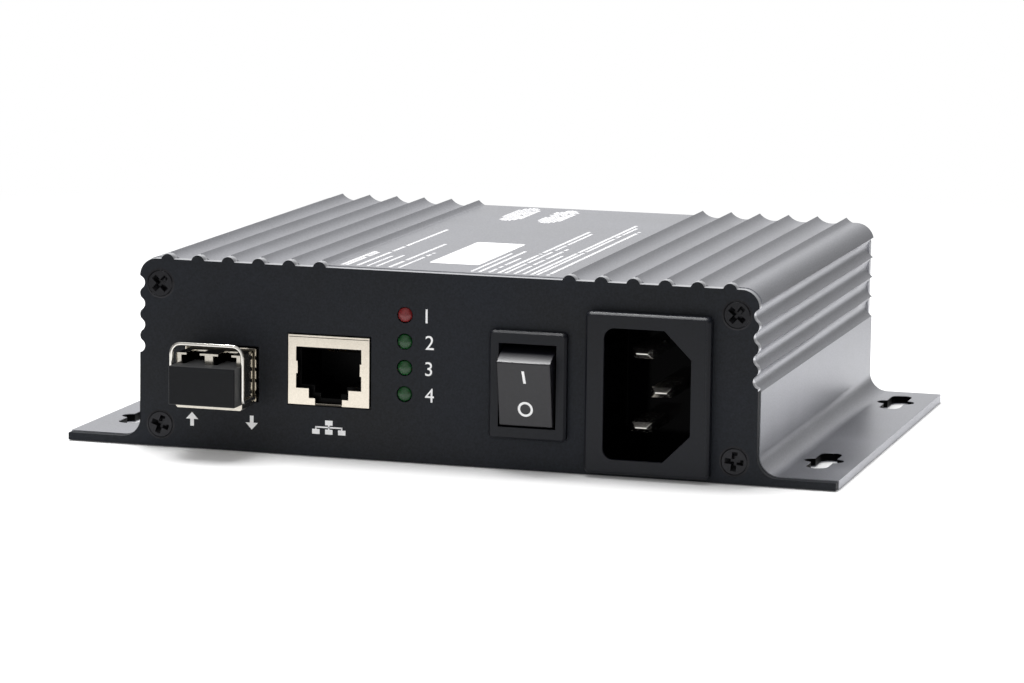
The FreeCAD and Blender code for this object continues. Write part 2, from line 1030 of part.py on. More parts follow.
def jack_insert():
    """Moulded insert with the stepped mouth for the plug and its latch."""
    middle = board_top + jack_height / 2
    front = mouth_front + insert_recess
    back = jack_length - jack_proud - jack_sheet
    body = centred(
        jack_x,
        middle,
        jack_width - 2 * jack_sheet,
        jack_height - 2 * jack_sheet,
        front,
        back,
    )
    mouth = jack_steps(
        jack_x,
        mouth_top(),
        (mouth_width, mouth_step, mouth_notch),
        (mouth_height, (window_bottom - jack_sheet) / 2, (window_bottom - jack_sheet) / 3),
        front,
        mouth_back,
    )
    return body.cut(mouth)


def mouth_top():
    """Height of the jack mouth's roof."""
    return board_top + window_bottom + window_height - (window_height - mouth_height) / 2


def jack_contacts():
    """Eight springs that lean down from the mouth's roof to its back wall."""
    near = mouth_front + mouth_depth / 4
    far = mouth_back
    top = mouth_top()
    contacts = []
    for index in range(contact_count):
        x = jack_x + (index - (contact_count - 1) / 2) * contact_pitch
        corners = [
            Vector(x - contact_thick / 2, near, top),
            Vector(x - contact_thick / 2, near + contact_thick, top),
            Vector(x - contact_thick / 2, far, top - contact_drop + contact_thick),
            Vector(x - contact_thick / 2, far, top - contact_drop),
        ]
        face = Part.Face(Part.makePolygon(corners + corners[:1]))
        contacts.append(face.extrude(Vector(contact_thick, 0, 0)))
    return group(contacts)


# ------------------------------------------------------------------ lamps
def lamp_places():
    """Z of the lamps, lowest first."""
    return [lamp_low + index * lamp_pitch for index in range(lamp_count)]


def lamp(z):
    """Round lamp with a stepped dome in front and a flange behind the plate."""
    profile = [
        (0, lamp_tip),
        (lamp_shoulder_back, lamp_shoulder),
        (lamp_dome, lamp_radius),
        (lamp_length - lamp_flange_thick, lamp_radius),
        (lamp_length - lamp_flange_thick, lamp_flange),
        (lamp_length, lamp_flange),
    ]
    return turned(profile, (lamp_x, -lamp_proud, z), (0, 1, 0))


def red_lamp():
    """Top lamp."""
    return lamp(lamp_places()[-1])


def green_lamps():
    """The lamps below the red one."""
    return group([lamp(z) for z in lamp_places()[:-1]])


def lamp_leads():
    """Two bent leads behind each lamp, standing on the board."""
    back = lamp_length - lamp_proud
    half = lead_wire / 2
    leads = []
    for index, z in enumerate(lamp_places()):
        reach = back + lead_first + index * lead_step
        for side in (-1, 1):
            x = lamp_x + side * lead_spread / 2
            run = box(x - half, x + half, back, reach, z - half, z + half)
            drop = box(x - half, x + half, reach - lead_wire, reach, board_top, z + half)
            leads.append(run.fuse(drop).removeSplitter())
    return group(leads)


# ------------------------------------------------------------------ rocker switch
def switch_body():
    """Switch housing: a rim on the plate, a body through it and a pocket for the rocker."""
    rim = round_box(
        switch_x,
        switch_z,
        switch_width,
        switch_height,
        -switch_proud,
        0,
        switch_round,
    )
    rim = chamfer_edges(rim, switch_round / 2, lambda edge: lies_at_y(edge, -switch_proud))
    body = centred(
        switch_x,
        switch_z,
        switch_body_width,
        switch_body_height,
        0,
        switch_body_back,
    )
    mouth = centred(
        switch_x,
        switch_z,
        switch_opening_width,
        switch_opening_height,
        -switch_proud,
        0,
    )
    pocket = centred(
        switch_x,
        switch_z,
        switch_opening_width,
        switch_pocket_height,
        0,
        switch_pocket_back,
    )
    pin_reach = rocker_width / 2 + rocker_pin_length + panel_gap
    pin_hole = rod(
        rocker_pin + pivot_gap,
        (switch_x - pin_reach, rocker_pivot, switch_z),
        (1, 0, 0),
        2 * pin_reach,
    )
    return rim.fuse(body).cut([mouth, pocket, pin_hole]).removeSplitter()


def switch_rocker():
    """Rocker tilted to its off side, with its two pivot pins."""
    half = rocker_face / 2
    shoulder = rocker_shoulder / 2
    root = rocker_root / 2
    heel = rocker_root / 4
    upper = [
        (-rocker_reach, half),
        (rocker_bevel - rocker_reach, shoulder),
        (0, root),
        (rocker_back, heel),
    ]
    corners = upper + [(y, -z) for y, z in reversed(upper)]
    left = switch_x - rocker_width / 2
    points = [Vector(left, rocker_pivot + y, switch_z + z) for y, z in corners]
    face = Part.Face(Part.makePolygon(points + points[:1]))
    rocker = face.extrude(Vector(rocker_width, 0, 0))
    front = rocker_pivot - rocker_reach
    rocker = round_edges(rocker, rocker_round, lambda edge: lies_at_y(edge, front))
    pin_reach = rocker_width / 2 + rocker_pin_length
    pin = rod(
        rocker_pin,
        (switch_x - pin_reach, rocker_pivot, switch_z),
        (1, 0, 0),
        2 * pin_reach,
    )
    rocker = rocker.fuse(pin).removeSplitter()
    rocker.rotate(Vector(switch_x, rocker_pivot, switch_z), Vector(1, 0, 0), rocker_tilt)
    return rocker


def switch_terminals():
    """Two terminal blades at the back of the switch."""
    return group(
        [
            centred(
                switch_x,
                switch_z + side * blade_spread / 2,
                blade_width,
                blade_thick,
                switch_body_back,
                switch_body_back + blade_length,
            )
            for side in (-1, 1)
        ]
    )


# ------------------------------------------------------------------ mains inlet
def inlet_cavity():
    """Cutter for the inlet's mouth: chamfered on the earth side, rounded on the other."""
    left = inlet_x - cavity_width / 2
    right = inlet_x + cavity_width / 2
    low = inlet_z - cavity_height / 2
    high = inlet_z + cavity_height / 2
    points = [
        (left, low),
        (right - cavity_chamfer, low),
        (right, low + cavity_chamfer),
        (right, high - cavity_chamfer),
        (right - cavity_chamfer, high),
        (left, high),
    ]
    mouth = polygon_slab(points, -inlet_proud, cavity_back)
    return round_edges(
        mouth,
        cavity_round,
        lambda edge: runs_along(edge, 1) and abs(edge.BoundBox.XMin - left) < 1e-6,
    )


def pin_places():
    """Place and recess of each inlet pin."""
    return [
        (line_pin_x, inlet_z + pin_spread / 2, pin_recess),
        (line_pin_x, inlet_z - pin_spread / 2, pin_recess),
        (earth_pin_x, inlet_z, earth_recess),
    ]


def inlet_body():
    """Inlet housing: a rim on the plate, a body through it and the deep mouth."""
    rim = round_box(inlet_x, inlet_z, inlet_width, inlet_height, -inlet_proud, 0, inlet_round)
    rim = chamfer_edges(rim, inlet_round / 2, lambda edge: lies_at_y(edge, -inlet_proud))
    body = centred(
        inlet_x,
        inlet_z,
        inlet_body_width,
        inlet_body_height,
        0,
        inlet_body_back,
    )
    holes = [
        centred(x, z, pin_width, pin_thick, cavity_back, inlet_body_back)
        for x, z, _ in pin_places()
    ]
    return rim.fuse(body).cut([inlet_cavity()] + holes).removeSplitter()


def inlet_pins():
    """Three flat pins with bevelled tips, each with a terminal behind the body."""
    pins = []
    for x, z, recess in pin_places():
        front = recess - inlet_proud
        pin = centred(x, z, pin_width, pin_thick, front, inlet_body_back)
        tip = [edge for edge in pin.Edges if lies_at_y(edge, front)]
        pin = pin.makeChamfer(pin_tip, tip)
        blade = centred(
            x,
            z,
            pin_width,
            blade_thick,
            inlet_body_back,
            inlet_body_back + terminal_length,
        )
        pins.append(pin.fuse(blade))
    return group(pins)


# ------------------------------------------------------------------ parts on the board
def on_board(x, y, size):
    """Block standing on the board, centred in X and starting at y."""
    width, depth, height = size
    return box(x - width / 2, x + width / 2, y, y + depth, board_top, board_top + height)


def magnetics():
    """Isolation transformer block behind the data jack."""
    return on_board(jack_x, magnetics_y, magnetics_size)


def controller_chip():
    """Converter chip."""
    return on_board(jack_x, chip_y, chip_size)


def crystal():
    """Clock crystal behind the chip."""
    return on_board(jack_x, chip_y + chip_size[1] + crystal_size[1], crystal_size)


def mains_header():
    """Header on the board that takes the mains leads."""
    return on_board(switch_x, supply_front() + board_end_gap, header_size)


def fuse():
    """Glass fuse lying on the board between its end caps."""
    y = supply_front() + header_size[1] + 2 * fuse_radius
    start = (switch_x - fuse_length / 2, y, board_top + fuse_radius)
    return rod(fuse_radius, start, (1, 0, 0), fuse_length)


def rectifier():
    """Bridge rectifier."""
    y = supply_front() + header_size[1] + 4 * fuse_radius
    return on_board(switch_x, y, rectifier_size)


def bulk_capacitor():
    """High-voltage capacitor, laid down across the board."""
    y = supply_front() + 2 * bulk_radius
    end_x = inner_half - rail_reach - board_edge_gap
    start = (end_x, y, board_top + bulk_radius)
    return rod(bulk_radius, start, (-1, 0, 0), bulk_length)


def core_y():
    """Y of the transformer core's front face."""
    return supply_front() + 4 * bulk_radius


def core_window():
    """Height of the opening in the core, between its lower and upper yokes."""
    return core_size[2] - 2 * core_leg + 4 * coil_flange


def transformer_core():
    """Ferrite frame of the supply's transformer."""
    width, depth, _ = core_size
    y = core_y()
    base = board_top + core_leg - 2 * coil_flange
    window = box(
        supply_x - width / 2 + core_leg,
        supply_x + width / 2 - core_leg,
        y,
        y + depth,
        base,
        base + core_window(),
    )
    return on_board(supply_x, y, core_size).cut(window)


def transformer_coil():
    """Winding between the square flanges of its bobbin, which fill the core's window."""
    y = core_y() + core_size[1] / 2
    base = board_top + core_leg - 2 * coil_flange
    top = base + core_window() - coil_flange
    coil = rod(coil_radius, (supply_x, y, base), (0, 0, 1), core_window())
    flanges = [
        box(
            supply_x - coil_radius,
            supply_x + coil_radius,
            y - coil_radius,
            y + coil_radius,
            z,
            z + coil_flange,
        )
        for z in (base, top)
    ]
    return fused([coil] + flanges)


def smoothing_capacitors():
    """Row of upright capacitors beside the transformer."""
    x = supply_x - core_size[0] / 2 - 2 * smoothing_radius
    y = core_y() + 2 * smoothing_radius
    return group(
        [
            rod(
                smoothing_radius,
                (x, y + index * smoothing_pitch, board_top),
                (0, 0, 1),
                smoothing_height,
            )
            for index in range(smoothing_count)
        ]
    )


# ------------------------------------------------------------------ output
nodes = {
    "housing": housing,
    "front_plate": front_plate,
    "rear_plate": rear_plate,
    "front_screws": front_screws,
    "rear_screws": rear_screws,
    "main_board": main_board,
    "sfp_cage": sfp_cage,
    "cage_collar": cage_collar,
    "edge_connector": edge_connector,
    "transceiver_body": transceiver_body,
    "fibre_barrels": fibre_barrels,
    "module_board": module_board,
    "bail_latch": bail_latch,
    "dust_plug": dust_plug,
    "jack_shield": jack_shield,
    "jack_insert": jack_insert,
    "jack_contacts": jack_contacts,
    "red_lamp": red_lamp,
    "green_lamps": green_lamps,
    "lamp_leads": lamp_leads,
    "switch_body": switch_body,
    "switch_rocker": switch_rocker,
    "switch_terminals": switch_terminals,
    "inlet_body": inlet_body,
    "inlet_pins": inlet_pins,
    "magnetics": magnetics,
    "controller_chip": controller_chip,
    "crystal": crystal,
    "mains_header": mains_header,
    "fuse": fuse,
    "rectifier": rectifier,
    "bulk_capacitor": bulk_capacitor,
    "transformer_core": transformer_core,
    "transformer_coil": transformer_coil,
    "smoothing_capacitors": smoothing_capacitors,
}

os.makedirs("parts", exist_ok=True)
for name, build in nodes.items():
    shape = build()
    shape.translate(Vector(0, -whole_depth / 2, 0))
    shape.exportStep(f"parts/{name}.step")
    print(name, len(shape.Solids), round(shape.Volume, 1), shape.isValid())
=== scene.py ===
"""Dressed model of a fibre media converter: finishes, print, studio and camera."""
import logging
from dataclasses import dataclass
from enum import Enum
from functools import cache
from math import cos, pi, radians, sin, sqrt
from typing import Any

import bmesh
import bpy
from bmesh.types import BMesh
from bpy.types import ID, Material, Mesh, Node, NodeSocket, NodeTree, Object
from mathutils import Matrix, Vector


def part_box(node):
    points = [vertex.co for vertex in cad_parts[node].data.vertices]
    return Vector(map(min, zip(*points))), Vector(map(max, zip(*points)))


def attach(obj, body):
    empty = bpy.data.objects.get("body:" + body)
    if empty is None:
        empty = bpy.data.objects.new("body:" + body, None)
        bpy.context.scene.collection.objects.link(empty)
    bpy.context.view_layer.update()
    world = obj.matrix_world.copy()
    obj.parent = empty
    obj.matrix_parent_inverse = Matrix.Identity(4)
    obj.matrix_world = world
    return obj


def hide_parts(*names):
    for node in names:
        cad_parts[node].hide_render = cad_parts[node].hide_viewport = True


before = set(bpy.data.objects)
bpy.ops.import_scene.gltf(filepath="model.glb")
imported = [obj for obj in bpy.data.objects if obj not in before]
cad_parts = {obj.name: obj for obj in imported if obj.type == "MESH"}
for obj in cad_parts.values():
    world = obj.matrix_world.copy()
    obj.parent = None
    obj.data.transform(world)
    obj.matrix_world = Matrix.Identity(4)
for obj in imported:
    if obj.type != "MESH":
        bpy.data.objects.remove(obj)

Pair = tuple[float, float]
Triple = tuple[float, float, float]

MM = 0.001
# Words that Blender puts before the names of its nodes
FAMILIES = ("ShaderNode", "GeometryNode", "FunctionNode", "")
# Noise of a finish's marks and of its broad patches, and the parts of its range in use
MARKS = {"Scale": 1.0, "Detail": 3.0, "Roughness": 0.6}
PATCHES = {"Scale": 45.0, "Detail": 2.0}
TINT_SPAN = (0.7, 1.3)
SHINE_SPAN = (0.3, 0.7)
# How many times longer than wide the marks of drawn sheet are
DRAWN_LENGTH = 60
# Colour and roughness of freshly cut aluminium
CUT_TINT, CUT_ROUGHNESS = "C9CACE", 0.34
# Degrees at which a round corner is drawn
CORNER_STEPS = range(0, 91, 15)
# Gentle start and end of a range
SOFT = {"interpolation_type": "SMOOTHSTEP"}
# Part of a normal along the sheet's own above which a face isn't a cut edge
FACE_ON = 0.75
# Distance under which two vertices of a new mesh are one, in metres
TOUCH = 1e-7
# Directions of the row frame
RIGHT, BACK, UP = Vector((1, 0, 0)), Vector((0, 1, 0)), Vector((0, 0, 1))
log = logging.getLogger("fibre_media_converter")


# ---- shared helpers
def linear(hex_colour: str) -> tuple[float, float, float, float]:
    """Turn an sRGB hex colour into linear light.

    Args:
        hex_colour: Six hex digits, such as "8C8D91".

    Returns:
        Linear red, green, blue and an alpha of one.
    """
    channels = [int(hex_colour[i:i + 2], 16) / 255 for i in (0, 2, 4)]
    light = [c / 12.92 if c <= 0.04045 else ((c + 0.055) / 1.055) ** 2.4 for c in channels]
    return (*light, 1.0)


def tuned(thing: Any, **settings: Any) -> Any:
    """Give a thing its settings.

    Args:
        thing: Node, modifier or block of data.
        **settings: Its properties.

    Returns:
        The same thing.
    """
    for name, value in settings.items():
        setattr(thing, name, value)
    return thing


def add(tree: NodeTree, kind: str, *inputs: Any, **settings: Any) -> Node:
    """Add a node, with its settings, and fill or link its inputs.

    Args:
        tree: Node tree that takes the node.
        kind: Name of the node type, without the word for its family.
        *inputs: Values of the first sockets in order, or one table of sockets and values. A
            value is plain, an output socket, a node that stands for its first output, or a
            list where one socket takes several links.
        **settings: Properties of the node itself.

    Returns:
        The new node.
    """
    family = next(word for word in FAMILIES if hasattr(bpy.types, word + kind))
    node = tuned(tree.nodes.new(family + kind), **settings)
    table = inputs[0] if inputs and isinstance(inputs[0], dict) else dict(enumerate(inputs))
    for key, given in table.items():
        for value in given if isinstance(given, list) else [given]:
            if isinstance(value, Node):
                value = next(socket for socket in value.outputs if socket.enabled)
            if isinstance(value, NodeSocket):
                tree.links.new(value, node.inputs[key])
            else:
                node.inputs[key].default_value = value
    return node


def paint(mesh: Mesh, material: Material) -> None:
    """Give all faces of a mesh one material."""
    mesh.materials.clear()
    mesh.materials.append(material)


def linked(name: str, data: ID) -> Object:
    """Put data in the scene.

    Args:
        name: Name of the object that shows it.
        data: Mesh, lamp or camera.

    Returns:
        The new object.
    """
    made = bpy.data.objects.new(name, data)
    bpy.context.scene.collection.objects.link(made)
    return made


def plain_mesh(name: str, data: ID) -> Mesh:
    """Turn a curve or a text into a mesh.

    Args:
        name: Name of the mesh.
        data: Curve or text.

    Returns:
        The new mesh.
    """
    holder = bpy.data.objects.new(name, data)
    mesh = bpy.data.meshes.new_from_object(holder)
    mesh.name = name
    bpy.data.objects.remove(holder)
    return mesh


def node_material(name: str) -> tuple[Material, NodeTree]:
    """Add an empty material.

    Args:
        name: Name of the material.

    Returns:
        The material and its tree.
    """
    made = bpy.data.materials.new(name)
    made.use_nodes = True
    made.node_tree.nodes.clear()
    return made, made.node_tree


def ends(box: Any, unit: float = 1.0) -> tuple[Vector, Vector]:
    """Lowest and highest corner of a box, in units of so many metres."""
    low, high = (Vector(corner) / unit for corner in box)
    return low, high


def bridge(builder: BMesh, near: list[Any], far: list[Any]) -> None:
    """Join two loops of vertices by a belt of faces.

    Args:
        builder: Mesh in the making.
        near: Vertices of one loop, in order.
        far: Vertices of the other loop, in the same order.
    """
    for index, vert in enumerate(near):
        after = (index + 1) % len(near)
        builder.faces.new((vert, far[index], far[after], near[after]))


def new_piece(
    name: str, mesh: Mesh, material: Material, body: str
) -> Object:
    """Link a mesh as a finished piece that rides a body.

    Args:
        name: Name of the piece.
        mesh: Mesh whose places are already in the row frame.
        material: Finish for all of its faces.
        body: CAD body that carries the piece.

    Returns:
        The new object.
    """
    piece = linked(name, mesh)
    paint(mesh, material)
    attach(piece, body)
    log.info("piece %s: %d faces, rides %s", name, len(mesh.polygons), body)
    return piece


def geometry_tree(name: str, inputs: dict[str, str]) -> tuple[NodeTree, Node]:
    """Start a geometry tree with named inputs after its seed geometry.

    Args:
        name: Name of the tree.
        inputs: Input name to the kind of its socket, such as "Float".

    Returns:
        The tree and its input node.
    """
    tree = bpy.data.node_groups.new(name, "GeometryNodeTree")
    sockets = {"Seed": "Geometry", **inputs, "Finish": "Material"}
    for label, kind in sockets.items():
        tree.interface.new_socket(label, in_out="INPUT", socket_type="NodeSocket" + kind)
    tree.interface.new_socket("Result", in_out="OUTPUT", socket_type="NodeSocketGeometry")
    return tree, add(tree, "NodeGroupInput")


def end_tree(tree: NodeTree, start: Node, shape: Node) -> None:
    """Close a geometry tree: instances made real, then given their finish.

    Args:
        tree: Tree to close.
        start: Its input node.
        shape: Node that ends the shape.
    """
    real = add(tree, "RealizeInstances", shape)
    done = add(tree, "SetMaterial", {"Geometry": real, "Material": start.outputs["Finish"]})
    add(tree, "NodeGroupOutput", done)


def grow(
    name: str,
    tree: NodeTree,
    places: list[Triple],
    values: dict[str, Any],
    marks: dict[str, list[float]] | None = None,
    runs: list[tuple[int, int]] | None = None,
) -> Mesh:
    """Run a geometry tree on seed places and keep the result as a plain mesh.

    Args:
        name: Name of the mesh.
        tree: Geometry tree to run.
        places: Seed points, in the row frame.
        values: Input name to its value.
        marks: Name to one number for each seed point, read by the tree.
        runs: Pairs of seed points joined by an edge.

    Returns:
        The grown mesh.
    """
    seed = bpy.data.meshes.new(name + "_seed")
    seed.from_pydata(places, runs or [], [])
    for label, numbers in (marks or {}).items():
        seed.attributes.new(label, "FLOAT", "POINT").data.foreach_set("value", numbers)
    holder = linked(name + "_seed", seed)
    maker = holder.modifiers.new("grow", "NODES")
    maker.node_group = tree
    for socket in tree.interface.items_tree:
        if socket.in_out == "INPUT" and socket.name in values:
            maker[socket.identifier] = values[socket.name]
    graph = bpy.context.evaluated_depsgraph_get()
    mesh = bpy.data.meshes.new_from_object(holder.evaluated_get(graph), depsgraph=graph)
    mesh.name = name
    holder.modifiers.remove(maker)
    bpy.data.objects.remove(holder)
    bpy.data.meshes.remove(seed)
    return mesh


def smooth(mesh: Mesh, crease: float = 35.0) -> Mesh:
    """Shade a mesh smooth, with its sharp edges kept.

    Args:
        mesh: Mesh to shade.
        crease: Angle above which an edge stays sharp, in degrees.

    Returns:
        The same mesh.
    """
    mesh.shade_smooth()
    mesh.set_sharp_from_angle(angle=radians(crease))
    return mesh


def finished(name: str, builder: BMesh, crease: float = 35.0) -> Mesh:
    """Close a mesh in the making: doubles merged, faces outwards, shaded.

    Args:
        name: Name of the mesh.
        builder: Mesh in the making; it is freed.
        crease: Angle above which an edge stays sharp, in degrees.

    Returns:
        The finished mesh.
    """
    bmesh.ops.remove_doubles(builder, verts=builder.verts, dist=TOUCH)
    bmesh.ops.recalc_face_normals(builder, faces=builder.faces)
    mesh = bpy.data.meshes.new(name)
    builder.to_mesh(mesh)
    builder.free()
    return smooth(mesh, crease)


# ---- finishes
class Grain(Enum):
    """How a surface was made, which sets the pattern of its bump."""

    DRAWN = "drawn"
    BLASTED = "blasted"
    MOULDED = "moulded"
    PLAIN = "plain"


@dataclass(frozen=True)
class PaintedShadeWell:
    """Recess of a part, left and right alike, whose walls look different from the rest, with
    painted shade.

    Attributes:
        middle: Middle of the box that holds it, in millimetres.
        half: Half the sizes of that box.
        tint: sRGB hex colour of the painted shade there.
        polish: Roughness that it has there.
        shine: Strength of its reflection there.
    """

    middle: Triple
    half: Triple
    tint: str
    polish: float
    shine: float

    def mask(self, tree: NodeTree, place: Node) -> Node:
        """Tell the recess from the rest.

        Args:
            tree: Material tree.
            place: Its texture coordinate node.

        Returns:
            Node whose value is one in the box and zero outside it.
        """
        either = add(tree, "VectorMath", place.outputs["Object"], operation="ABSOLUTE")
        spot = add(tree, "SeparateXYZ", either)
        inside: Node | float = 1.0
        for axis, middle, half in zip("XYZ", self.middle, self.half):
            reach = middle * MM, half * MM
            near = add(tree, "Math", spot.outputs[axis], *reach, operation="COMPARE")
            inside = add(tree, "Math", near, inside, operation="MULTIPLY")
        return inside


@dataclass(frozen=True)
class Finish:
    """One real material with its surface.

    Attributes:
        name: Common name of the material and how it was made.
        dark: sRGB hex colour of its darker patches.
        light: sRGB hex colour of its lighter patches.
        metallic: One for bare metal, zero for plastic or paint.
        roughness: Lowest and highest roughness.
        grain: Kind of surface pattern.
        grain_mm: Size of the pattern's marks.
        bump_mm: Height of the pattern's marks.
        specular: Strength of the reflection of a non-metal.
        rim: Where the cut edge shows bare metal: beyond the first distance from the middle
            and above the second height, or above the third height, in millimetres; None
            where it doesn't.
        well: Recess whose walls carry painted shade; None where the part is the same throughout.
        sheen: Weight of the dusty bloom that shows where the surface is seen edge-on.
    """

    name: str
    dark: str
    light: str
    metallic: float = 0.0
    roughness: Pair = (0.4, 0.5)
    grain: Grain = Grain.MOULDED
    grain_mm: float = 0.3
    bump_mm: float = 0.004
    specular: float = 0.5
    rim: Triple | None = None
    well: PaintedShadeWell | None = None
    sheen: float = 0.0

    def stretch(self) -> Triple:
        """Scale of the grain along X, Y and Z, per metre."""
        fine = 1 / (self.grain_mm * MM)
        along = fine / DRAWN_LENGTH if self.grain is Grain.DRAWN else fine
        return (fine, along, fine)

    @cache
    def material(self) -> Material:
        """Build the finish once and return its material."""
        made, tree = node_material(self.name)
        place = add(tree, "TexCoord")
        spot = place.outputs["Object"]
        scaled = add(tree, "Mapping", {"Vector": spot, "Scale": self.stretch()})
        fine = add(tree, "TexNoise", {"Vector": scaled, **MARKS})
        broad = add(tree, "TexNoise", {"Vector": spot, **PATCHES})
        blend = add(tree, "Math", fine, broad, operation="ADD")
        spread = add(tree, "MapRange", blend, *TINT_SPAN)
        tints = {0: spread, 6: linear(self.dark), 7: linear(self.light)}
        shade = add(tree, "Mix", tints, data_type="RGBA")
        satin = add(tree, "MapRange", broad, *SHINE_SPAN, *self.roughness)
        shine = self.specular
        if self.well:
            # Painted shade: the recess's walls take a darker colour, with their own roughness and
            # reflection
            deep = self.well.mask(tree, place)
            tints = {0: deep, 6: shade, 7: linear(self.well.tint)}
            shade = add(tree, "Mix", tints, data_type="RGBA")
            satin = add(tree, "Mix", {0: deep, 2: satin, 3: self.well.polish})
            shine = add(tree, "Mix", {0: deep, 2: shine, 3: self.well.shine})
        look = {
            "Base Color": shade,
            "Roughness": satin,
            "Metallic": self.metallic,
            "Specular IOR Level": shine,
            "Sheen Weight": self.sheen,
        }
        surface = add(tree, "BsdfPrincipled", look)
        if self.grain is not Grain.PLAIN:
            relief = {"Height": fine, "Strength": 1.0, "Distance": self.bump_mm * MM}
            bump = add(tree, "Bump", relief)
            tree.links.new(bump.outputs["Normal"], surface.inputs["Normal"])
        skin = self.bare_rim(tree, place, surface) if self.rim else surface
        add(tree, "OutputMaterial", skin)
        made.diffuse_color = linear(self.light)
        return made

    def bare_rim(self, tree: NodeTree, place: Node, surface: Node) -> Node:
        """Show bare metal where the sheet was cut after it was coloured.

        Args:
            tree: Material tree.
            place: Its texture coordinate node.
            surface: Shader of the coloured face.

        Returns:
            Shader of the whole sheet.
        """
        side, low, high = (v * MM for v in self.rim)
        x, y, z = add(tree, "SeparateXYZ", place.outputs["Object"]).outputs
        across = add(tree, "Math", x, operation="ABSOLUTE")
        wide, raised, top = (
            add(tree, "Math", value, limit, operation="GREATER_THAN")
            for value, limit in ((across, side), (z, low), (z, high))
        )
        near = add(tree, "Math", wide, raised, operation="MULTIPLY")
        near = add(tree, "Math", near, top, operation="MAXIMUM")
        facing = add(tree, "SeparateXYZ", place.outputs["Normal"])
        plate = add(tree, "Math", y, operation="SIGN")
        outward = add(tree, "Math", facing.outputs["Y"], plate, operation="MULTIPLY")
        cut = add(tree, "Math", outward, FACE_ON, operation="LESS_THAN")
        bare = add(tree, "Math", near, cut, operation="MULTIPLY")
        look = {"Base Color": linear(CUT_TINT), "Roughness": CUT_ROUGHNESS, "Metallic": 1.0}
        return add(tree, "MixShader", bare, surface, add(tree, "BsdfPrincipled", look))


# Natural anodised aluminium, etched: fine even grain and a satin sheen; painted shade on the ears'
# slot walls
CASE = Finish(
    "natural_anodised_aluminium", "8D8E94", "B0B1B7", 1.0, (0.34, 0.42), Grain.BLASTED, 0.3, 0.011,
    well=PaintedShadeWell((69.0, 0.0, 0.9), (5.4, 49.0, 0.72), "0C0C0D", 0.6, 0.1),
)
# Black anodised sheet: deep black with a fine dry grain, and bright metal on its cut edges
PANEL = Finish(
    "black_anodised_sheet", "05080D", "181C24", 0.0, (0.52, 0.66), Grain.BLASTED, 0.4, 0.016, 0.28,
    rim=(59.7, 17.8, 35.6),
)
# Black-oxide steel: oily black with soft highlights
SCREW = Finish(
    "black_oxide_steel", "1A1A1C", "29292C", 0.7, (0.26, 0.38), Grain.BLASTED, 0.3, 0.004
)
# Bright nickel over folded brass sheet: warm white mirror with faint rolling lines
NICKEL = Finish(
    "bright_nickel_sheet", "CEC6B8", "E2DACC", 1.0, (0.14, 0.24), Grain.DRAWN, 0.25, 0.001
)
# Nickel inside the cage, rougher and painted darker as shade, where little light gets in
CAGE = Finish("nickel_sheet_painted_shade", "5E594F", "7A7468", 1.0, (0.3, 0.4), Grain.DRAWN, 0.25, 0.001)
# Nickel-plated zinc casting: slightly duller than the sheet, with painted shade inside the
# transceiver's nose
CASTING = Finish(
    "plated_zinc_casting", "B2ADA3", "D2CDC2", 1.0, (0.12, 0.22), Grain.BLASTED, 0.4, 0.002,
    well=PaintedShadeWell((44.2, 54.0, 15.45), (6.0, 4.7, 4.1), "050506", 0.5, 0.1),
)
# Stainless spring wire: bright and smooth
WIRE = Finish("bright_spring_wire", "D2CFC8", "E8E5DF", 1.0, (0.12, 0.2), Grain.PLAIN)
# Soft moulded rubber: matt black that shows a dusty grey bloom
RUBBER = Finish(
    "moulded_soft_rubber", "040609", "0A0C11", 0.0, (0.5, 0.64), Grain.MOULDED, 0.5, 0.006, 0.17,
    sheen=0.22,
)
# Glass-filled nylon: satin black with a fine spark-eroded texture
NYLON = Finish(
    "black_filled_nylon", "05070D", "0D1018", 0.0, (0.38, 0.5), Grain.MOULDED, 0.35, 0.005, 0.3
)
# The same nylon round a socket: satin on the rim, polished and with painted shade down in the well
SOCKET = Finish(
    "socket_nylon", "05070D", "0D1018", 0.0, (0.38, 0.5), Grain.MOULDED, 0.35, 0.005, 0.3,
    well=PaintedShadeWell((40.4, 43.9, 16.05), (10.0, 10.0, 13.5), "010102", 0.07, 0.02),
)
# Black insulator inside the sockets, darkened past its own black as painted shade, with little
# shine; also the painted shade in the collar's gaps
INSERT = Finish(
    "black_insert_and_painted_shade", "010101", "030304", 0.0, (0.3, 0.42), Grain.MOULDED, 0.35, 0.003, 0.06
)
# Black sheet on top of the transceiver's nose: a painted dark reflection of the front plate
NOSE_PAINTED_REFLECTION = Finish(
    "painted_dark_reflection", "030304", "08080A", 0.0, (0.55, 0.7), Grain.MOULDED, 0.4, 0.003, 0.1
)
# Folded sheet seen end on: dull, with dirt in the joint
SEAM = Finish("folded_sheet_joint", "3A362F", "575148", 0.6, (0.5, 0.6), Grain.PLAIN)
# Polished black switch key: smoother and glossier than its rim
KEY = Finish(
    "polished_black_abs", "0D0C11", "16151B", 0.0, (0.3, 0.36), Grain.MOULDED, 0.6, 0.002, 0.55
)
# Gold flash on phosphor bronze
GOLD = Finish("gold_flashed_bronze", "B88A3A", "D9AE5C", 1.0, (0.2, 0.3), Grain.PLAIN)
# Tinned brass blades
TIN = Finish("tinned_brass", "D2CFC8", "EAE7E1", 1.0, (0.18, 0.3), Grain.DRAWN, 0.3, 0.002)
# Green solder mask over glass-epoxy: glossy, with the weave just showing
BOARD = Finish(
    "green_solder_mask", "0B4A26", "12663A", 0.0, (0.28, 0.38), Grain.MOULDED, 0.6, 0.003, 0.5
)
# Natural nylon header
HEADER = Finish("natural_nylon", "D8D2C2", "E6E1D4", 0.0, (0.4, 0.5))
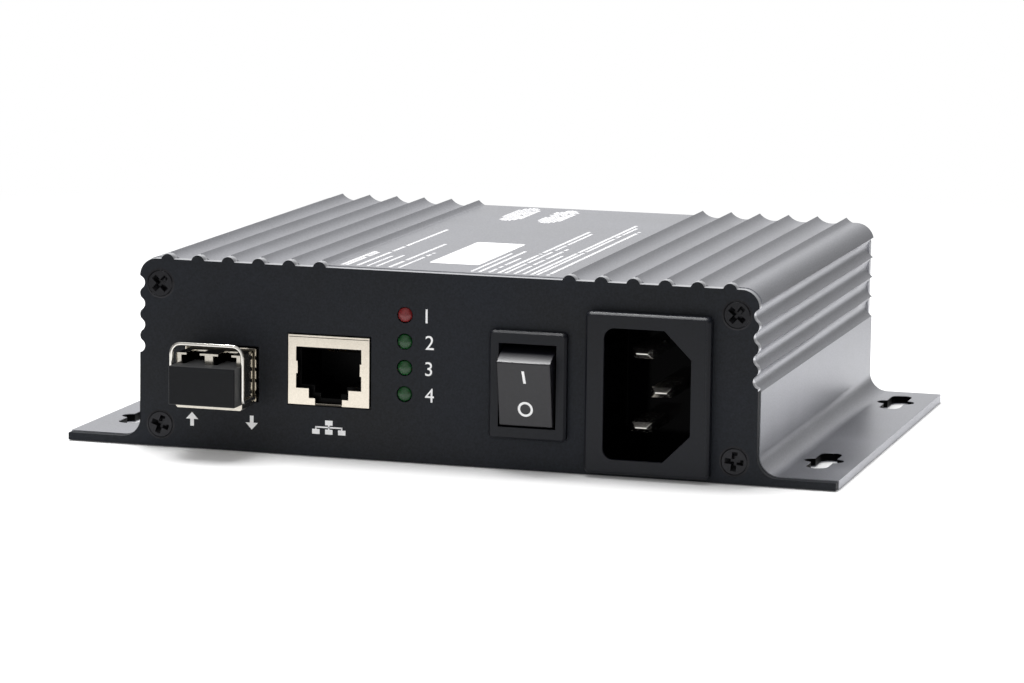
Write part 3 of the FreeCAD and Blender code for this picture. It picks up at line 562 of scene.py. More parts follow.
# Shrunk sleeve on the capacitors
SLEEVE = Finish("shrunk_vinyl_sleeve", "16202E", "22304A", 0.0, (0.25, 0.35), Grain.PLAIN)
# Sintered ferrite
FERRITE = Finish("sintered_ferrite", "232324", "343435", 0.0, (0.6, 0.75), Grain.BLASTED, 0.3, 0.01)
# Polyester tape round the winding
TAPE = Finish("polyester_tape", "C29A22", "D9B23C", 0.0, (0.2, 0.3), Grain.PLAIN)
# Epoxy moulding compound of chips
EPOXY = Finish("epoxy_moulding", "17181A", "232427", 0.0, (0.5, 0.65), Grain.MOULDED, 0.3, 0.006)
# Screen-printed white ink: matt and slightly uneven
INK = Finish("white_screen_ink", "F0F0F0", "FAFAFA", 0.0, (0.5, 0.6), Grain.PLAIN)
# Thicker ink on the case's top: glossier, so that it shines at a flat angle
TOP_INK = Finish("glossy_white_ink", "EDEDF0", "F8F8FA", 0.0, (0.25, 0.35), Grain.PLAIN)
# Coated white paper
STICKER = Finish(
    "coated_white_paper", "F2F2F4", "FBFBFC", 0.0, (0.35, 0.45), Grain.MOULDED, 0.5, 0.002
)


@dataclass(frozen=True)
class Lens:
    """Tinted epoxy of a lamp: clear-skinned, with a cloudy body.

    Attributes:
        name: Name of the material.
        tint: sRGB hex colour of the epoxy.
        cloud: Clouds in the epoxy, per metre.
        roughness: Lowest and highest roughness.
        body: Share of the light that goes in, and how deep, in millimetres.
        ior: Index of refraction of the epoxy.
    """

    name: str
    tint: str
    cloud: float = 900.0
    roughness: Pair = (0.2, 0.36)
    body: Pair = (0.2, 0.8)
    ior: float = 1.52

    @cache
    def material(self) -> Material:
        """Build the tinted epoxy once and return its material."""
        made, tree = node_material(self.name)
        spot = add(tree, "TexCoord").outputs["Object"]
        noise = add(tree, "TexNoise", {"Vector": spot, "Scale": self.cloud, "Detail": 2.0})
        share, depth = self.body
        look = {
            "Base Color": linear(self.tint),
            "Roughness": add(tree, "MapRange", noise, 0.0, 1.0, *self.roughness),
            "Subsurface Weight": share,
            "Subsurface Scale": depth * MM,
            "IOR": self.ior,
        }
        add(tree, "OutputMaterial", add(tree, "BsdfPrincipled", look))
        made.diffuse_color = linear(self.tint)
        return made


RED_LENS = Lens("red_tinted_epoxy", "6E1A1C")
GREEN_LENS = Lens("green_tinted_epoxy", "0D3E18")


# ---- edges of CAD nodes
@dataclass(frozen=True)
class SoftEdges:
    """Broken edges and smooth curved faces on the CAD nodes.

    Attributes:
        crease: Angle above which an edge stays sharp, in degrees.
        flat: Angle under which two faces are one, in degrees.
        weld: Distance under which two vertices are one, in metres.
    """

    crease: float = 33.0
    flat: float = 0.3
    weld: float = 1e-6

    @cache
    def tree(self) -> NodeTree:
        """Node tree, built once, that shades faces smooth and keeps sharp edges."""
        made = bpy.data.node_groups.new("smooth_by_angle", "GeometryNodeTree")
        for label, kind, way in (
            ("Geometry", "Geometry", "INPUT"),
            ("Crease", "Float", "INPUT"),
            ("Geometry", "Geometry", "OUTPUT"),
        ):
            made.interface.new_socket(label, in_out=way, socket_type="NodeSocket" + kind)
        start = add(made, "NodeGroupInput")
        turn = (add(made, "InputMeshEdgeAngle"), start.outputs["Crease"])
        sharp = add(made, "Compare", *turn, data_type="FLOAT", operation="GREATER_THAN")
        bare = add(made, "RemoveAttribute", {"Geometry": start, "Name": "custom_normal"})
        shaded = {"Geometry": bare, "Shade Smooth": True}
        smoothed = add(made, "SetShadeSmooth", shaded, domain="FACE")
        shaded = {"Geometry": smoothed, "Selection": sharp, "Shade Smooth": False}
        add(made, "NodeGroupOutput", add(made, "SetShadeSmooth", shaded, domain="EDGE"))
        return made

    def soften(self, node: str, width_mm: float) -> None:
        """Join a node's triangles, break its edges and smooth its curves.

        Args:
            node: Name of the CAD node.
            width_mm: Width of the broken edge; zero leaves the edges sharp.
        """
        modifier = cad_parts[node].modifiers.new
        tuned(modifier("weld", "WELD"), merge_threshold=self.weld)
        level, sharp = radians(self.flat), radians(self.crease)
        tuned(modifier("flat", "DECIMATE"), decimate_type="DISSOLVE", angle_limit=level)
        if width_mm:
            edges = tuned(modifier("edges", "BEVEL"), width=width_mm * MM, segments=2)
            tuned(edges, limit_method="ANGLE", angle_limit=sharp, use_clamp_overlap=True)
        shade = tuned(modifier("shade", "NODES"), node_group=self.tree())
        sockets = [s for s in shade.node_group.interface.items_tree if s.name == "Crease"]
        shade[sockets[0].identifier] = sharp
        tuned(modifier("even", "WEIGHTED_NORMAL"), keep_sharp=True, weight=100)


# ---- studio
@dataclass
class Studio:
    """Plain pale floor, soft lamps and a bright surround.

    Attributes:
        floor_size: Side of the floor, in metres.
        floor_colour: sRGB hex colour of the floor.
        floor_gap: Height of the part over the floor, in millimetres.
        lift: Extra light that only camera and mirror rays see, so the floor stays white.
        near: Distance from the part where the floor starts to turn plain white, in metres.
        far: Distance where it is plain white, in metres.
        mirrored: Share of that white which mirror rays see.
        side_light: Strength of the surround at the sides and overhead.
        back_light: Parts of the way back where the light behind starts and is full, and its
            strength there.
        front_light: The same for the light in front.
        top_light: The same for what the surround gains straight overhead.
        right_share: The same for the share of the light behind that's left on the right.
        overhead: Place, size and power of the lamp overhead, in metres and watts.
        accents: The same for the small lamp for highlights.
        aim: Height of the point that the lamps look at, in metres.
    """

    floor_size: float = 12.0
    floor_colour: str = "F4F4F4"
    floor_gap: float = 0.02
    lift: float = 0.08
    near: float = 0.12
    far: float = 0.4
    mirrored: float = 0.36
    side_light: float = 0.12
    back_light: Triple = (-0.1, 0.75, 1.1)
    front_light: Triple = (-0.3, -0.95, 0.78)
    top_light: Triple = (0.5, 0.95, 0.4)
    right_share: Triple = (-0.3, 0.5, 0.25)
    overhead: tuple[Triple, float, float] = ((-0.12, 0.1, 0.85), 0.5, 8.2)
    accents: tuple[Triple, float, float] = ((-0.225, 0.045, 0.85), 0.13, 9.0)
    aim: float = 0.02

    def floor(self) -> None:
        """Lay the floor, just under the part."""
        builder = bmesh.new()
        bmesh.ops.create_grid(builder, x_segments=1, y_segments=1, size=self.floor_size / 2)
        mesh = bpy.data.meshes.new("floor")
        builder.to_mesh(mesh)
        builder.free()
        plane = linked("floor", mesh)
        plane.location.z = -self.floor_gap * MM
        material, tree = node_material("pale_floor")
        matt = add(tree, "BsdfDiffuse", linear(self.floor_colour))
        rays = add(tree, "LightPath").outputs
        camera, mirror, through = (
            rays[f"Is {kind} Ray"] for kind in ("Camera", "Glossy", "Transmission")
        )
        seen = add(tree, "Math", camera, mirror, operation="MAXIMUM")
        seen = add(tree, "Math", seen, through, operation="MAXIMUM")
        power = add(tree, "Math", seen, self.lift, operation="MULTIPLY")
        both = add(tree, "AddShader", matt, add(tree, "Emission", {"Strength": power}))
        spot = add(tree, "TexCoord").outputs["Object"]
        reach = add(tree, "VectorMath", spot, operation="LENGTH")
        far = add(tree, "MapRange", reach, self.near, self.far, **SOFT)
        fade = add(tree, "Math", far, seen, operation="MULTIPLY")
        bright = add(tree, "MapRange", mirror, 0.0, 1.0, 1.0, self.mirrored)
        white = add(tree, "Emission", {"Strength": bright})
        add(tree, "OutputMaterial", add(tree, "MixShader", fade, both, white))
        paint(mesh, material)

    def surround(self) -> None:
        """Pale sweep behind the part, dim at the sides, with a fair light from in front."""
        world = bpy.data.worlds.new("surround")
        bpy.context.scene.world = tuned(world, use_nodes=True)
        tree = world.node_tree
        tree.nodes.clear()
        way = add(tree, "TexCoord").outputs["Generated"]
        x, y, z = add(tree, "SeparateXYZ", way).outputs
        dim = self.side_light / 2
        back, front = (
            add(tree, "MapRange", y, start, full, dim, level - dim, **SOFT)
            for start, full, level in (self.back_light, self.front_light)
        )
        start, full, share = self.right_share
        fall = add(tree, "MapRange", x, start, full, 1.0, share, **SOFT)
        room = add(tree, "Math", back, fall, front, operation="MULTIPLY_ADD")
        start, full, level = self.top_light
        overhead = add(tree, "MapRange", z, start, full, 0.0, level, **SOFT)
        room = add(tree, "Math", room, overhead, operation="ADD")
        seen = add(tree, "LightPath").outputs["Is Camera Ray"]
        level = add(tree, "Mix", {0: seen, 2: room, 3: 1.0})
        add(tree, "OutputWorld", add(tree, "Background", (1, 1, 1, 1), level))

    def lamp(self, name: str, place: Triple, size: float, power: float) -> Object:
        """Hang a soft square lamp that looks at the part.

        Args:
            name: Name of the lamp.
            place: Where it hangs, in metres.
            size: Side of its panel, in metres.
            power: Its power, in watts.

        Returns:
            The lamp.
        """
        lamp = linked(name, tuned(bpy.data.lights.new(name, "AREA"), size=size, energy=power))
        lamp.location = place
        aim = UP * self.aim - Vector(place)
        lamp.rotation_euler = aim.to_track_quat("-Z", "Y").to_euler()
        return lamp

    def accent(self, pieces: tuple[str, ...]) -> None:
        """Hang a small lamp, screened off from all but a few pieces, for their highlights.

        Args:
            pieces: Names of the pieces that it lights.
        """
        lamp = self.lamp("accent_lamp", *self.accents)
        lit = bpy.data.collections.new("accented")
        for name in pieces:
            lit.objects.link(bpy.data.objects[name])
        lamp.light_linking.receiver_collection = lit

    def build(self) -> None:
        """Lay out the whole studio."""
        self.floor()
        self.surround()
        self.lamp("overhead_lamp", *self.overhead).visible_glossy = False
        bpy.context.scene.view_settings.view_transform = "Standard"
        log.info("studio ready")


@dataclass
class Camera:
    """Long-lens view from the front right, a little above.

    Attributes:
        azimuth: Turn to the right of straight ahead, in degrees.
        elevation: Height above level, in degrees.
        roll: Turn about the line of sight, in degrees.
        target: Point in the middle of the picture, in metres.
        distance: From the target to the camera, in metres.
        lens: Focal length, in millimetres.
        sensor: Width of the sensor, in millimetres.
        near: Distance where the picture starts, in metres.
    """

    azimuth: float = 16.503
    elevation: float = 8.926
    roll: float = 0.693
    target: Triple = (0.01365, -0.05225, 0.02448)
    distance: float = 0.75656
    lens: float = 142.17
    sensor: float = 36.0
    near: float = 0.01

    def build(self) -> None:
        """Place the camera and make it the scene's own."""
        turn = radians(self.azimuth)
        rise = radians(self.elevation)
        back = Vector((sin(turn) * cos(rise), -cos(turn) * cos(rise), sin(rise)))
        level = Vector((cos(turn), sin(turn), 0))
        upright = back.cross(level)
        basis = Matrix((level, upright, back)).transposed()
        lean = Matrix.Rotation(radians(self.roll), 3, "Z")
        data = bpy.data.cameras.new("camera")
        tuned(data, lens=self.lens, sensor_width=self.sensor, clip_start=self.near)
        camera = linked("camera", data)
        place = Vector(self.target) + back * self.distance
        camera.matrix_world = Matrix.Translation(place) @ (basis @ lean).to_4x4()
        bpy.context.scene.camera = camera
        log.info("camera at %s", tuple(round(v, 4) for v in place))


# ---- plain dressing of CAD nodes
@dataclass
class Body:
    """CAD nodes that keep their own shape.

    Attributes:
        finishes: Each node, its finish and the width of its broken edges, in millimetres.
    """

    finishes: tuple[tuple[str, Finish, float], ...] = (
        ("housing", CASE, 0.12),
        ("front_plate", PANEL, 0.12),
        ("rear_plate", PANEL, 0.2),
        ("main_board", BOARD, 0.0),
        ("sfp_cage", CAGE, 0.0),
        ("cage_collar", NICKEL, 0.0),
        ("edge_connector", NYLON, 0.1),
        ("transceiver_body", CASTING, 0.08),
        ("fibre_barrels", CASTING, 0.0),
        ("module_board", BOARD, 0.0),
        ("dust_plug", RUBBER, 0.1),
        ("jack_shield", NICKEL, 0.06),
        ("jack_insert", INSERT, 0.08),
        ("jack_contacts", GOLD, 0.0),
        ("lamp_leads", TIN, 0.0),
        ("switch_body", NYLON, 0.1),
        ("switch_rocker", KEY, 0.1),
        ("switch_terminals", TIN, 0.05),
        ("inlet_body", SOCKET, 0.12),
        ("inlet_pins", TIN, 0.06),
        ("magnetics", EPOXY, 0.2),
        ("controller_chip", EPOXY, 0.1),
        ("crystal", NICKEL, 0.1),
        ("mains_header", HEADER, 0.2),
        ("fuse", NICKEL, 0.2),
        ("rectifier", EPOXY, 0.2),
        ("bulk_capacitor", SLEEVE, 0.4),
        ("transformer_core", FERRITE, 0.2),
        ("transformer_coil", TAPE, 0.1),
        ("smoothing_capacitors", SLEEVE, 0.3),
    )

    def build(self) -> None:
        """Dress every node and break its edges."""
        edges = SoftEdges()
        for node, finish, width in self.finishes:
            paint(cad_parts[node].data, finish.material())
            edges.soften(node, width)
        log.info("dressed %d CAD nodes", len(self.finishes))


# ---- screws
class Facing(Enum):
    """Which way a screw's head looks, as the sign of its quarter turn about X."""

    FRONT = 1
    REAR = -1


@dataclass
class Screws:
    """Countersunk case screws with cross recesses, four in each end plate.

    Lengths are in millimetres.

    Attributes:
        head: Radius of a head.
        rim: Width of the bevel round a head.
        lip: Outer radius of the raised ring round a head.
        arm: Length across a cross recess.
        arm_width: Width of an arm at the face.
        depth: Depth of a recess.
        draft: Share by which a recess narrows to its bottom.
        turns: How far each front and rear screw was driven round, in degrees.
        sides: Faces round a head.
        shank: Radius and depth of the foot of a head.
        seat: How far the crown is sunk into it, so that the two meet.
        lip_height: Height of the raised ring.
        wall: Height of the wall round a head and how far it is sunk.
        inset: From the sides and foot of the screws' box to a head's middle.
    """

    head: float = 2.58
    rim: float = 0.22
    lip: float = 2.9
    arm: float = 3.3
    arm_width: float = 0.95
    depth: float = 1.0
    draft: float = 0.45
    turns: tuple[float, ...] = (20.0, 5.0, 45.0, 40.0, 12.0, 70.0, 33.0, 58.0)
    sides: int = 48
    shank: Pair = (1.4, 1.6)
    seat: float = 0.0001
    lip_height: float = 0.06
    wall: Pair = (0.5, 0.44)
    inset: Pair = (2.632, 2.7)

    def sizes(self) -> dict[str, float]:
        """Inputs of the geometry tree: lengths in metres, then the draft."""
        names = ("Head", "Rim", "Lip", "Arm", "Arm Width", "Depth")
        lengths = (self.head, self.rim, self.lip, self.arm, self.arm_width, self.depth)
        metres = {name: length * MM for name, length in zip(names, lengths)}
        return {**metres, "Draft": self.draft}

    def cone(self, tree: NodeTree, radii: tuple[Any, Any], depth: Any, cap: str) -> Node:
        """Add a cone of the head.

        Args:
            tree: Tree that takes it.
            radii: Radius of its top and of its foot.
            depth: Its height.
            cap: How its ends are closed.

        Returns:
            The cone's node.
        """
        names = ("Vertices", "Radius Top", "Radius Bottom", "Depth")
        shape = dict(zip(names, (self.sides, *radii, depth)))
        return add(tree, "MeshCone", shape, fill_type=cap)

    def lower(self, tree: NodeTree, shape: Node, drop: float) -> Node:
        """Move a shape of the head down by so many millimetres."""
        return add(tree, "Transform", {"Geometry": shape, "Translation": (0, 0, -drop * MM)})

    def recess(self, tree: NodeTree, start: Node) -> Node:
        """Add the cross that is cut out of a head.

        Args:
            tree: Tree that takes it.
            start: Its input node.

        Returns:
            Node of the cross, narrower at its bottom.
        """
        long, wide, depth, draft = (
            start.outputs[name] for name in ("Arm", "Arm Width", "Depth", "Draft")
        )
        arms = []
        for along, across in ((long, wide), (wide, long)):
            deep = add(tree, "Math", depth, 2.0, operation="MULTIPLY")
            size = add(tree, "CombineXYZ", along, across, deep)
            arms.append(add(tree, "MeshCube", size))
        cross = add(tree, "MeshBoolean", {1: arms}, operation="UNION", solver="EXACT")
        spot = add(tree, "InputPosition")
        height = add(tree, "SeparateXYZ", spot).outputs["Z"]
        ratio = add(tree, "Math", height, depth, operation="DIVIDE")
        narrow = add(tree, "Math", ratio, draft, 1.0, operation="MULTIPLY_ADD")
        taper = add(tree, "CombineXYZ", narrow, narrow, 1.0)
        moved = add(tree, "VectorMath", spot, taper, operation="MULTIPLY")
        return add(tree, "SetPosition", {"Geometry": cross, "Position": moved})

    def tree(self) -> NodeTree:
        """Geometry tree that sets a screw head on every seed point."""
        tree, start = geometry_tree("case_screws", {name: "Float" for name in self.sizes()})
        head, rim, lip = (start.outputs[name] for name in ("Head", "Rim", "Lip"))
        foot, height = self.shank
        flat = add(tree, "Math", head, rim, operation="SUBTRACT")
        crown = self.cone(tree, (flat, head), rim, "NGON")
        shank = self.cone(tree, (head, foot * MM), height * MM, "NGON")
        sunk = self.lower(tree, shank, height)
        raised = self.lower(tree, crown, self.seat)
        cutter = self.recess(tree, start)
        cuts = [
            add(tree, "MeshBoolean", solid, cutter, operation="DIFFERENCE", solver="EXACT")
            for solid in (raised, sunk)
        ]
        ring = self.cone(tree, (head, lip), self.lip_height * MM, "NONE")
        wall, sink = self.wall
        well = self.cone(tree, (head, flat), wall * MM, "NONE")
        whole = add(tree, "JoinGeometry", [ring, *cuts, self.lower(tree, well, sink)])
        tilt, turn = (
            add(tree, "InputNamedAttribute", {"Name": name}, data_type="FLOAT")
            for name in ("facing", "turn")
        )
        angles = add(tree, "CombineXYZ", tilt, turn)
        heads = {"Points": start.outputs["Seed"], "Instance": whole, "Rotation": angles}
        end_tree(tree, start, add(tree, "InstanceOnPoints", heads))
        return tree

    def places(self, node: str, facing: Facing) -> list[Triple]:
        """Middle of each head of a CAD node of four screws.

        Args:
            node: CAD node of the screws.
            facing: Which way their heads look.

        Returns:
            Four places, lower pair first.
        """
        low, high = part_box(node)
        side, rise = (v * MM for v in self.inset)
        face = low[1] if facing is Facing.FRONT else high[1] - self.rim * MM
        return [
            (x, face, z)
            for z in (low[2] + rise, high[2] - rise)
            for x in (low[0] + side, high[0] - side)
        ]

    def build(self) -> None:
        """Set all eight heads into the end plates."""
        spots, tilts = [], []
        for node, facing in (("front_screws", Facing.FRONT), ("rear_screws", Facing.REAR)):
            spots += self.places(node, facing)
            tilts += [facing.value * pi / 2] * 4
        values = {**self.sizes(), "Finish": SCREW.material()}
        marks = {"facing": tilts, "turn": [radians(angle) for angle in self.turns]}
        mesh = grow("case_screws", self.tree(), spots, values, marks)
        piece = new_piece("case_screws", smooth(mesh, crease=30), SCREW.material(), "case")
        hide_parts("front_screws", "rear_screws")


# ---- lamps
@dataclass
class Lamps:
    """Four domed lamps in a column: red on top, green below.

    Lengths are in millimetres.

    Attributes:
        dome: Depth of the rounded end.
        radius: Radius of a lamp.
        inset: From an end of the lamps' box to the middle of a lamp.
        steps: Rings of the dome.
        sides: Faces round a lamp.
    """

    dome: float = 1.0
    radius: float = 1.45
    inset: float = 1.9
    steps: int = 10
    sides: int = 48

    def lens(self, builder: BMesh, middle: Vector, back: float) -> None:
        """Add one lens to a mesh.

        Args:
            builder: Mesh in the making.
            middle: Tip of the dome.
            back: Y where it ends, behind the plate.
        """
        radius = self.radius * MM
        rings = []
        for step in range(1, self.steps + 1):
            angle = step / self.steps * pi / 2
            depth = self.dome * MM * (1 - cos(angle))
            spot = middle + Vector((0, depth, 0))
            rings.append(self.ring(builder, spot, radius * sin(angle)))
        rings.append(self.ring(builder, Vector((middle.x, back, middle.z)), radius))
        tip = builder.verts.new(middle)
        for index, vert in enumerate(rings[0]):
            builder.faces.new((tip, vert, rings[0][(index + 1) % self.sides]))
        for near, far in zip(rings, rings[1:]):
            for index in range(self.sides):
                after = (index + 1) % self.sides
                builder.faces.new((near[index], near[after], far[after], far[index]))
        builder.faces.new(rings[-1])

    def ring(self, builder: BMesh, middle: Vector, radius: float) -> list[Any]:
        """Add a circle of vertices that faces forwards.

        Args:
            builder: Mesh in the making.
            middle: Centre of the circle.
            radius: Its radius.

        Returns:
            The new vertices, in order.
        """
        angles = (2 * pi / self.sides * index for index in range(self.sides))
        rays = (Vector((radius * cos(a), 0, radius * sin(a))) for a in angles)
        return [builder.verts.new(middle + ray) for ray in rays]

    def build(self) -> None:
        """Replace the few-sided lamps by smooth lenses."""
        for node, number, lens, slot in (
            ("red_lamp", 1, RED_LENS, "lens_red"),
            ("green_lamps", 3, GREEN_LENS, "lens_green"),
        ):
            low, high = ends(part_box(node))
            x = (low.x + high.x) / 2
            lowest = low.z + self.inset * MM
            highest = high.z - self.inset * MM
            builder = bmesh.new()
            for index in range(number):
                z = lowest + (highest - lowest) * index / max(number - 1, 1)
                self.lens(builder, Vector((x, low.y, z)), high.y)
            mesh = finished(node + "_lenses", builder, crease=40)
            piece = new_piece(node + "_lenses", mesh, lens.material(), "case")
            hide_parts(node)


# ---- bail
@dataclass
class Bail:
    """Sprung wire bail round the transceiver's nose.

    Lengths are in millimetres.

    Attributes:
        wire: Diameter of the wire.
        pivot: Length of each end that is turned in.
        bends: Radius of each bend from pivot to pivot.
        sag: How far the crossbar hangs below the top of its box.
        steps: Pieces that a bend is drawn in.
    """

    wire: float = 0.75
    pivot: float = 0.9
    bends: tuple[float, ...] = (0.2, 0.9, 2.0, 2.0, 0.9, 0.2)
    sag: float = 0.4
    steps: int = 8

    def path(self) -> list[Vector]:
        """Corners of the wire's middle line, from pivot to pivot."""
        low, high = ends(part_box("bail_latch"))
        half, inner = self.wire / 2 * MM, self.pivot * MM
        left, right = low.x + half, high.x - half
        front, back = low.y + half, high.y - half
        base, top = low.z + half, high.z - half - self.sag * MM
        climb = ((back, base), (front, base), (front, top))
        return [
            Vector((left + inner, back, base)),
            *(Vector((left, *spot)) for spot in climb),
            *(Vector((right, *spot)) for spot in reversed(climb)),
            Vector((right - inner, back, base)),
        ]

    def rounded(self, line: list[Vector]) -> list[Vector]:
        """Draw each corner of a line as an arc.

        Args:
            line: Corners of the line.

        Returns:
            Points along the rounded line.
        """
        points = [line[0]]
        for before, corner, after, bend in zip(line, line[1:], line[2:], self.bends):
            start, end = ((spot - corner).normalized() * bend * MM for spot in (before, after))
            centre = corner + start + end
            for step in range(self.steps + 1):
                angle = step / self.steps * pi / 2
                points.append(centre - end * cos(angle) - start * sin(angle))
        return [*points, line[-1]]

    def build(self) -> None:
        """Bend the wire and hang it on its pivots."""
        curve = bpy.data.curves.new("bail_wire", "CURVE")
        tuned(curve, dimensions="3D", bevel_resolution=6, use_fill_caps=True)
        curve.bevel_depth = self.wire / 2 * MM
        line = curve.splines.new("POLY")
        points = self.rounded(self.path())
        line.points.add(len(points) - 1)
        for spot, point in zip(line.points, points):
            spot.co = (*point, 1.0)
        mesh = smooth(plain_mesh("bail_wire", curve), crease=50)
        piece = new_piece("bail_wire", mesh, WIRE.material(), "bail")
        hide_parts("bail_latch")


# ---- print
@dataclass
class Stencil:
    """Thin printed shapes on a flat face, in millimetres along its own X and Y.

    Attributes:
        name: Name of the piece.
        origin: Point of the face where the print's own X and Y start, in metres.
        upward: Direction of the print's Y.
        film: Thickness of the ink, in millimetres.
    """

    name: str
    origin: Vector
    upward: Vector = UP
    film: float = 0.02

    def __post_init__(self) -> None:
        """Open the mesh that the shapes are printed into."""
        self.builder = bmesh.new()
        self.out = RIGHT.cross(self.upward).normalized()
        self.low, self.high = -self.film * MM, self.film * MM / 2

    def at(self, x: float, y: float, height: float) -> Vector:
        """Point of the print, with X and Y in millimetres and a height in metres."""
        return self.origin + (RIGHT * x + self.upward * y) * MM + self.out * height

    def shape(self, outline: list[Pair]) -> None:
        """Print one filled outline.

        Args:
            outline: Its corners, anticlockwise.
        """
        top, base = (
            [self.builder.verts.new(self.at(x, y, height)) for x, y in outline]
            for height in (self.high, self.low)
        )
        self.builder.faces.new(top)
        self.builder.faces.new(base[::-1])
        bridge(self.builder, top, base)

    def bar(self, x: float, y: float, width: float, height: float) -> None:
        """Print a bar by its middle, width and height."""
        a, b = width / 2, height / 2
        self.shape([(x - a, y - b), (x + a, y - b), (x + a, y + b), (x - a, y + b)])

    def ring(self, x: float, y: float, outer: float, inner: float, sides: int = 40) -> None:
        """Print a ring.

        Args:
            x: Middle of the ring.
            y: Middle of the ring.
            outer: Outer radius.
            inner: Inner radius.
            sides: Pieces that the ring is cut into.
        """
        low, high = self.low, self.high
        loops = []
        for index in range(sides):
            angle = 2 * pi * index / sides
            spots = (
                self.at(x + reach * cos(angle), y + reach * sin(angle), height)
                for reach, height in ((outer, low), (outer, high), (inner, high), (inner, low))
            )
            loops.append([self.builder.verts.new(spot) for spot in spots])
        for near, far in zip(loops, loops[1:] + loops[:1]):
            bridge(self.builder, near, far)

    def numeral(self, text: str, x: float, y: float, height: float) -> None:
        """Print a plain numeral.

        Args:
            text: The numeral.
            x: Its left edge.
            y: Its base.
            height: Its height.
        """
        letter = tuned(bpy.data.curves.new("numeral_" + text, "FONT"), body=text, extrude=0.02)
        mesh = plain_mesh("numeral_" + text, letter)
        left, foot = (min(v.co[axis] for v in mesh.vertices) for axis in (0, 1))
        scale = height / (max(v.co.y for v in mesh.vertices) - foot)
        for vert in mesh.vertices:
            flat_x, flat_y, depth = vert.co
            rise = self.high if depth > 0 else self.low
            vert.co = self.at(x + (flat_x - left) * scale, y + (flat_y - foot) * scale, rise)
        self.builder.from_mesh(mesh)
        bpy.data.meshes.remove(mesh)

    def finish(self, finish: Finish, body: str) -> Object:
        """Close the print as a piece in its ink, carried by a CAD body."""
        return new_piece(self.name, finished(self.name, self.builder), finish.material(), body)


@dataclass
class PanelPrint:
    """White marks on the front plate: numerals by the lamps, symbols under the ports.

    Lengths are in millimetres.

    Attributes:
        numeral_height: Height of a numeral.
        numeral_gap: From the lamps' middle to the numerals.
        mark_base: Foot of the marks under the ports.
        mark_height: Height of those marks.
        reach: From the transceiver's middle to each arrow.
        arrow_half: Half the width of an arrow's head and of its shaft.
        box: Width and height of a box of the network sign.
        pitch: From one box to the next.
        line: Width of the lines between the boxes.
    """

    numeral_height: float = 2.66
    numeral_gap: float = 4.1
    mark_base: float = 4.5
    mark_height: float = 2.7
    reach: float = 6.1
    arrow_half: Pair = (1.25, 0.375)
    box: Pair = (1.5, 0.95)
    pitch: float = 2.6
    line: float = 0.28

    def arrow(self, mark: Stencil, x: float, up: bool) -> None:
        """Print an arrow: light out of a port, or into it.

        Args:
            mark: Print that takes the arrow.
            x: Its middle.
            up: True where it points up.
        """
        low, high = self.mark_base, self.mark_base + self.mark_height
        tip, foot = (high, low) if up else (low, high)
        neck = (tip + foot) / 2
        head, half = self.arrow_half
        right = [(x + half, foot), (x + half, neck), (x + head, neck), (x, tip)]
        left = [(x - head, neck), (x - half, neck), (x - half, foot)]
        outline = right + left
        mark.shape(outline if up else outline[::-1])

    def network(self, mark: Stencil, x: float) -> None:
        """Print three linked boxes, the usual sign of a network socket.

        Args:
            mark: Print that takes the sign.
            x: Its middle.
        """
        low, high = self.mark_base, self.mark_base + self.mark_height
        width, box = self.box
        middle = (low + high) / 2
        rise = middle - low - box
        mark.bar(x, high - box / 2, width, box)
        for side in (-1, 0, 1):
            mark.bar(x + side * self.pitch, low + box / 2, width, box)
            mark.bar(x + side * self.pitch, low + box + rise / 2, self.line, rise)
        mark.bar(x, middle, 2 * self.pitch + self.line, self.line)
        mark.bar(x, (middle + high - box) / 2, self.line, high - box - middle)

    def build(self) -> None:
        """Print every mark on the plate."""
        mark = Stencil("panel_print", Vector((0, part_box("front_plate")[0][1], 0)))
        low, high = ends(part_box("green_lamps"))
        red_low, red_high = ends(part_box("red_lamp"))
        top = (red_low.z + red_high.z) / 2 / MM
        step = (top - (low.z + Lamps.inset * MM) / MM) / 3
        x = (low.x + high.x) / 2 / MM + self.numeral_gap
        for index, numeral in enumerate("1234"):
            base = top - index * step - self.numeral_height / 2
            mark.numeral(numeral, x, base, self.numeral_height)
        nose = [v[0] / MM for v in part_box("transceiver_body")]
        middle = (nose[0] + nose[1]) / 2
        self.arrow(mark, middle - self.reach, True)
        self.arrow(mark, middle + self.reach, False)
        jack = [v[0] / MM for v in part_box("jack_shield")]
        self.network(mark, (jack[0] + jack[1]) / 2)
        mark.finish(INK, "case")


